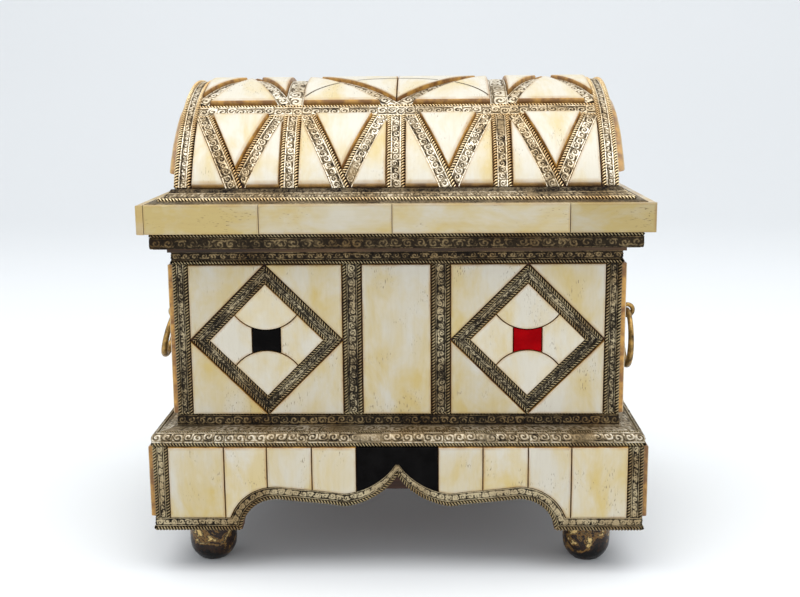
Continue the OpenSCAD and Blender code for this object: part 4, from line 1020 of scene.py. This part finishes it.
def lid_surround():
    """Moulding under the rim, and the hollow cover between the rim and the dome."""
    moulding = Piece("rim_band", "lid", BELT_METAL, "rim_moulding")
    flare = Piece("lid_cover", "lid", LID_METAL, "lid_flare")
    cord = Piece("lid_ropes", "lid", ROPE_METAL, "lid_wires")
    dark = Piece("rim_ropes", "lid", DARK_ROPE)
    out, far = MW - W, RW - RIM_BONE - W
    seed = 900
    for side in SIDES:
        seed += 20
        near = COVER_HALF_D - D if wide(side) else VAULT_HALF_W - W
        low = [(out - 0.2, BODY_TOP + 0.25), (out, BODY_TOP + 0.8), (out, MOULDING_TOP)]
        moulded_band(moulding, side, low, seed, cell=5, depth=0.22, plain=0.4)
        moulded_rope(dark, side, out - 1.2, MOULDING_TOP + WIRE / 2, seed + 1, high=0.7)
        hollow = [(far, RIM_HIGH + 0.75), (far - 2.8, RIM_HIGH + 1.1), (far - 4.6, RIM_HIGH + 1.6)]
        steep = [(far - 5.2, RIM_HIGH + 2.6), (near + 2.2, RIM_HIGH + 4.5)]
        # The gap strip at the dome's foot is painted shadow: its shade of 0.12 makes the metal there almost black, as
        # in the shade under the tiles.
        gap = [(near + 2.2, RIM_HIGH + 4.5), (near + 1.8, RIM_HIGH + 4.8), (near + 0.9, RIM_HIGH + COVER_TOP)]
        for profile, shift, depth, plain, shade in ((hollow, 2, 0.2, 0.35, 0.4), (steep, 3, 0.42, 0.0, 0.55),
                                                    (gap, 5, 0.2, 0.5, 0.12)):
            moulded_band(flare, side, profile, seed + shift, cell=4.2, depth=depth, plain=plain, step=0.4, shade=shade)
        moulded_rope(cord, side, far - 4.9, RIM_HIGH + 2.0, seed + 4)
    moulding.build()
    flare.build()
    dark.build()
    return cord


def lid_dome(cord):
    """The dome's front and back rows of V bands and bone, its upright columns, its top and its ends."""
    bands = piece_group("dome_bands_", "lid", LID_METAL, ("dome_strips",), ("front", "back", "top"))
    bands["edge"] = Piece("dome_bands_edge", "lid", LID_METAL, "dome_edge_strips")
    ropes = piece_group("dome_ropes_", "lid", ROPE_METAL, (), ("front", "back"))
    rows = {end: Piece("dome_bone_" + end, "lid", BONE, "dome_tiles_" + end) for end in ("front", "back")}
    lean = V_SLOPE * (ROW_HIGH - ROW_LOW)
    row_low, row_high = DOME_R * (FOOT_ANGLE + 0.006), DOME_R * LOWER_END
    side_reach = DOME_HALF_W - EDGE_W
    seed = 1200
    for end in ("front", "back"):
        place = dome(LOWER_MID, end == "back")
        metal, rp, bone = bands[end], ropes[end], rows[end]
        for x in CELLS:
            seed += 40
            inner_top = x - V_FOOT + V_ACROSS - lean
            strip(metal, rp, place, [[x - V_FOOT + V_ACROSS, ROW_LOW], [inner_top, ROW_HIGH]],
                  [[x - V_FOOT, ROW_LOW], [x - V_FOOT - lean, ROW_HIGH]], V_WIDTH, seed, ropes=(True, False), cell=3.2)
            inner_top = x + V_FOOT - V_ACROSS + lean
            strip(metal, rp, place, [[x + V_FOOT, ROW_LOW], [x + V_FOOT + lean, ROW_HIGH]],
                  [[x, V_TIP], [inner_top, ROW_HIGH]], V_WIDTH, seed + 5, ropes=(False, True), cell=3.2)
            half_top = V_SLOPE * (ROW_HIGH - V_TIP) - JOINT
            tri = [[x, V_TIP + JOINT / V_SLOPE], [x + half_top, ROW_HIGH - JOINT], [x - half_top, ROW_HIGH - JOINT]]
            tile(bone, place, tri, -BAND, DOME_PROUD, seed + 8, slope=[1.25, 0.5, 0.35], warm=(0.12, 0.15, 0.0), cut=3,
                 tone=0.95)
            tall = (CELL_HALF - V_FOOT) / V_SLOPE
            for s in (-1, 1):
                wedge = np.array([[CELL_HALF - JOINT, 0.4], [CELL_HALF - JOINT, tall - 2 * JOINT / V_SLOPE],
                                  [V_FOOT + JOINT, 0.4]]) * [s, 1] + [x, ROW_LOW]
                order = wedge if s > 0 else wedge[::-1]
                slope = [0.35, 0.45, 1.7] if s > 0 else [0.45, 0.35, 1.7]
                stain = (0.02 + 0.22 * chance(seed + s, 5), 0.18 * s, 0.2)
                tile(bone, place, order, -BAND, DOME_PROUD, seed + 11 + s, slope=slope, warm=stain, cut=3, tone=0.95,
                     deep=-0.3)
        for x in (-COLUMN_X, 0, COLUMN_X):
            seed += 9
            half = COLUMN_W / 2
            columns = dome_arc if end == "front" else (lambda s, t, h: dome_arc(s, t, h) * [-1, -1, 1])
            strip(metal, rp, columns, upright(x + half, row_low, row_high), upright(x - half, row_low, row_high),
                  COLUMN_W, seed)
        belt_low, belt_high = DOME_R * LOWER_END, DOME_R * UPPER_START
        band(metal, columns, level(side_reach, belt_low + 0.5), level(side_reach, belt_high - 1.5), seed + 1, cell=4.2,
             high=0.12, shade=0.85)
        rope(rp, columns, level(side_reach, belt_high - 0.8), seed + 2, radius=0.8)
        rope(rp, columns, level(side_reach, belt_low + 0.1), seed + 3, radius=0.5)
    dome_top(bands["top"])
    lid_ends(bands["edge"], cord)
    for piece in (*bands.values(), *ropes.values(), cord):
        piece.build()
    for piece in rows.values():
        piece.build(sharp=40)


def clip_outline(outline, point, normal):
    """The part of a convex outline on the side of a line that its normal points to."""
    result = []
    n = len(outline)
    for i in range(n):
        a, b = np.asarray(outline[i], float), np.asarray(outline[(i + 1) % n], float)
        da, db = np.dot(a - point, normal), np.dot(b - point, normal)
        if da >= 0:
            result.append(a)
        if (da > 0) != (db > 0) and abs(da - db) > 1e-9:
            result.append(a + (b - a) * da / (da - db))
    return np.array(result)


def top_slopes(outline, reach):
    """How far each edge of a top tile leans in: more where it faces the front or the back."""
    return [1.6 if abs(abs(y) - reach + 0.8) < 0.1 else 0.8 for y in ((np.roll(outline, -1, 0) + outline) / 2)[:, 1]]


def dome_top(metal):
    """Bands and tiles over the top: a cross on each side panel, and a diamond on the middle one."""
    place = dome(math.pi / 2)
    bone = Piece("dome_bone_top", "lid", BONE, "dome_tiles_top")
    reach = DOME_R * math.cos(UPPER_START)
    inner, outer = COLUMN_X + COLUMN_W / 2, DOME_HALF_W - EDGE_W - JOINT
    seed = 1800
    half = TOP_BAND * 0.5
    for s in (-1, 1):
        seed += 30
        x = s * COLUMN_X
        band(metal, place, upright(x + COLUMN_W / 2, -reach, reach), upright(x - COLUMN_W / 2, -reach, reach), seed,
             cell=6, plain=0.2)
        ends = [np.array([s * inner, -reach]), np.array([s * outer, reach])]
        other = [np.array([s * inner, reach]), np.array([s * outer, -reach])]
        crossing = (ends[0] + ends[1]) / 2
        lines = []
        for j, (a, b) in enumerate((ends, other)):
            run, left = direction(a, b)
            lines.append(left)
            side = left * half
            a, b = a + run * 1.5, b - run * 1.5
            band(metal, place, [a - side, b - side], [a + side, b + side], seed + 3 + j, cell=5.5, plain=0.15,
                 high=0.08 * j)
        frame_box = [[s * inner + s * JOINT, -reach + 0.8], [s * outer, -reach + 0.8],
                     [s * outer, reach - 0.8], [s * inner + s * JOINT, reach - 0.8]]
        frame_box = frame_box if s > 0 else frame_box[::-1]
        for k, (i, j) in enumerate(((1, 1), (1, -1), (-1, 1), (-1, -1))):
            piece = clip_outline(frame_box, crossing + i * lines[0] * (half + JOINT), i * lines[0])
            piece = clip_outline(piece, crossing + j * lines[1] * (half + JOINT), j * lines[1])
            tile(bone, place, piece, -BAND, DOME_PROUD - 0.12, seed + 8 + k, slope=top_slopes(piece, reach), cut=3,
                 warm=(0.06, 0.05, 0), tone=0.96, deep=0.25)
    diamond(metal, bone, place, reach)
    bone.build(sharp=40)


def diamond(metal, bone, place, reach):
    """The middle panel's diamond of bands, with thin arched joints in the bone round and inside it."""
    half_x, seed = COLUMN_X - COLUMN_W / 2, 1950
    half = TOP_BAND * 0.5
    corners = np.array([[half_x - 1, 0], [0, reach + 2], [-half_x + 1, 0], [0, -reach - 2]], float)
    lines = []
    for k in range(4):
        a, b = corners[k], corners[(k + 1) % 4]
        _, side = direction(a, b)
        lines.append(((a + b) / 2, side))
        band(metal, place, [a - side * half, b - side * half], [a + side * half, b + side * half], seed + k, cell=5.5,
             plain=0.15, high=0.06 * (k % 2))
    box = np.array([[-half_x, -reach + 0.8], [half_x, -reach + 0.8], [half_x, reach - 0.8], [-half_x, reach - 0.8]])
    for k, (point, side) in enumerate(lines):
        outside = clip_outline(box, point - side * (half + JOINT), -side)
        tile(bone, place, outside, -BAND, DOME_PROUD - 0.1, seed + 10 + k, slope=top_slopes(outside, reach), cut=3,
             warm=(0.1, 0, 0), tone=0.96, deep=0.25)
    inside = box
    for point, side in lines:
        inside = clip_outline(inside, point + side * (half + JOINT), side)
    for s in (-1, 1):
        part = clip_outline(inside, np.array([s * JOINT / 2, 0]), np.array([s, 0.0]))
        tile(bone, place, part, -BAND, DOME_PROUD - 0.1, seed + 20 + s, slope=0.3, cut=3, warm=(0.05, 0, 0), tone=0.95)
    for s in (-1, 1):
        arc = circle_points(0, -s * TOP_ARC_Y, TOP_ARC_R, s * 30, s * 150, 1.0)
        clear = np.min([np.abs((arc - point) @ side) for point, side in lines], axis=0) > half + 0.9
        clear &= (np.abs(arc[:, 0]) < half_x - 0.6) & (np.abs(arc[:, 1]) < reach - 1.8)
        for a, b, on in zip(arc, arc[1:], clear[:-1] & clear[1:]):
            if on:
                away = np.array([a[1] - b[1], b[0] - a[0]]) / np.linalg.norm(b - a) * 0.3
                quad = np.array([a - away, b - away, b + away, a + away])
                bone.add(place(quad[:, 0], quad[:, 1], np.full(4, DOME_PROUD)), [[0, 1, 2, 3]],
                         {"wall": 2.0, "edge": 0.0, "tone": 0.6, "warm": 0.3, "grain": np.zeros((4, 3))})


def lid_ends(metal, cord):
    """Edge bands over the dome, bands round its ends, and the bone plates inside them."""
    bone = Piece("dome_bone_ends", "lid", BONE, "dome_tiles_ends")
    low, high = DOME_R * (FOOT_ANGLE + 0.01), DOME_R * (math.pi - FOOT_ANGLE - 0.01)
    seed = 2100
    for s in (-1, 1):
        seed += 30
        near, far = s * (DOME_HALF_W - EDGE_W), s * DOME_HALF_W
        left, right = max(near, far), min(near, far)
        strip(metal, cord, dome_arc, upright(left, low, high), upright(right, low, high), EDGE_W, seed)
        side = "right" if s > 0 else "left"
        place = flat(side, DOME_HALF_W)
        start = math.degrees(math.asin((RIM_HIGH + COVER_TOP - DOME_Z) / (END_R + 2)))
        arcs = [circle_points(0, DOME_Z, r, start, 180 - start, 1.5) for r in (DOME_R - BAND, END_R)]
        strip(metal, cord, place, arcs[0], arcs[1], DOME_R - BAND - END_R, seed + 3, ropes=(False, True), high=-0.1)
        foot = RIM_HIGH + END_FOOT
        reach = 1.0 - END_R
        band(metal, place, level(reach, RIM_HIGH + END_LOW), level(reach, foot - 0.3), seed + 12, high=-0.1)
        at = math.degrees(math.asin((foot - DOME_Z) / (END_R - 0.3)))
        for k in (-1, 1):
            arc = circle_points(0, DOME_Z, END_R - 0.3, at, 89.8, 4)
            plate = np.concatenate([[[JOINT / 2, foot]], arc, [[JOINT / 2, DOME_Z + END_R - 0.3]]])
            plate = plate if k > 0 else (plate * [-1, 1])[::-1]
            tile(bone, place, plate, -BAND, END_PROUD, seed + 6 + k, slope=1.3, warm=(0.35, 0.1, -0.1), cut=5,
                 tone=0.98, deep=-0.25)
    bone.build(sharp=40)


# ---------------------------------------------------------------- CAD pieces that stay

def carried_over():
    """Gives the CAD pieces that stay in view their finishes."""
    finishes = {WOOD: ("front_board", "back_board", "left_board", "right_board", "bottom_board", "plinth_front",
                       "plinth_back", "plinth_left", "plinth_right", "corner_blocks", "lid_frame", "lid_vault",
                       "lid_end_left", "lid_end_right"),
                EDGE_WOOD: ("body_top_edging",),
                HINGE_BRASS: ("hinge_body_leaves", "hinge_lid_leaves", "hinge_pins", "hinge_body_screws",
                              "hinge_lid_screws")}
    for material, nodes in finishes.items():
        for node in nodes:
            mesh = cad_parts[node].data
            mesh.materials.clear()
            mesh.materials.append(material)


# ---------------------------------------------------------------- stage

def stage():
    """A pale floor that curves up into a backdrop, soft light from above and in front, and the camera."""
    bend = [(1.2 + 1.5 * math.sin(a), 1.5 - 1.5 * math.cos(a)) for a in np.radians(range(0, 91, 3))]
    profile = [(-3.0, 0.0)] + bend + [(2.7, 5.0)]
    points = [(x, y, z) for y, z in profile for x in (-5.0, 5.0)]
    faces = [(2 * i, 2 * i + 1, 2 * i + 3, 2 * i + 2) for i in range(len(profile) - 1)]
    mesh = bpy.data.meshes.new("floor")
    mesh.from_pydata(points, [], faces)
    mesh.polygons.foreach_set("use_smooth", [True] * len(faces))
    g = Graph("floor_paper", Specular_IOR_Level=0.05)
    tone = g.noise(g.object_position(), 1.5, 2, 0.5)
    mesh.materials.append(g.finish(g.mix(tone, srgb(225, 227, 228), srgb(228, 230, 231)), 0.8))
    floor = bpy.data.objects.new("floor", mesh)
    bpy.context.scene.collection.objects.link(floor)

    def area(name, place, target, size, power, colour=(1, 1, 1)):
        light = bpy.data.lights.new(name, "AREA")
        light.shape, light.size, light.size_y = "RECTANGLE", size[0], size[1]
        light.energy, light.color = power, colour
        obj = bpy.data.objects.new(name, light)
        obj.location = place
        obj.rotation_euler = (Vector(target) - Vector(place)).to_track_quat("-Z", "Y").to_euler()
        bpy.context.scene.collection.objects.link(obj)
    area("overhead", (0.0, -0.33, 1.3), (0, -0.1, 0.1), (2.0, 1.1), 19)
    area("front_fill", (0.0, -1.5, 0.3), (0, -0.1, 0.0), (2.2, 0.5), 4.5, (1.0, 0.99, 0.97))
    area("left_side", (-1.3, 0.0, 0.5), (0, 0, 0.05), (1.2, 0.6), 1.5)
    area("right_side", (1.3, 0.0, 0.5), (0, 0, 0.05), (1.2, 0.6), 1.5)
    area("rear", (0.0, 1.3, 1.3), (0, 0, 0.05), (2.4, 0.8), 0.6)
    area("backdrop", (0.0, 1.9, 1.7), (0, 2.35, 0.4), (4.0, 0.5), 8)
    world = bpy.data.worlds.new("studio")
    world.use_nodes = True
    back = world.node_tree.nodes["Background"]
    back.inputs[0].default_value = (0.93, 0.96, 1.0, 1)
    back.inputs[1].default_value = 0.8
    scene = bpy.context.scene
    scene.world = world
    scene.view_settings.view_transform = "Standard"
    camera = bpy.data.cameras.new("camera")
    camera.lens, camera.sensor_width = 52.3, 36
    obj = bpy.data.objects.new("camera", camera)
    turn = (Matrix.Rotation(math.radians(1.439), 4, "Z") @ Matrix.Rotation(math.radians(90 - 10.614), 4, "X")
            @ Matrix.Rotation(math.radians(-0.48), 4, "Z"))
    obj.matrix_world = Matrix.Translation((0.01412, -0.56945, 0.21685)) @ turn
    scene.collection.objects.link(obj)
    scene.camera = obj


stage()
body_panels()
body_bands()
plinth()
feet()
handles()
rim()
lid_dome(lid_surround())
carried_over()
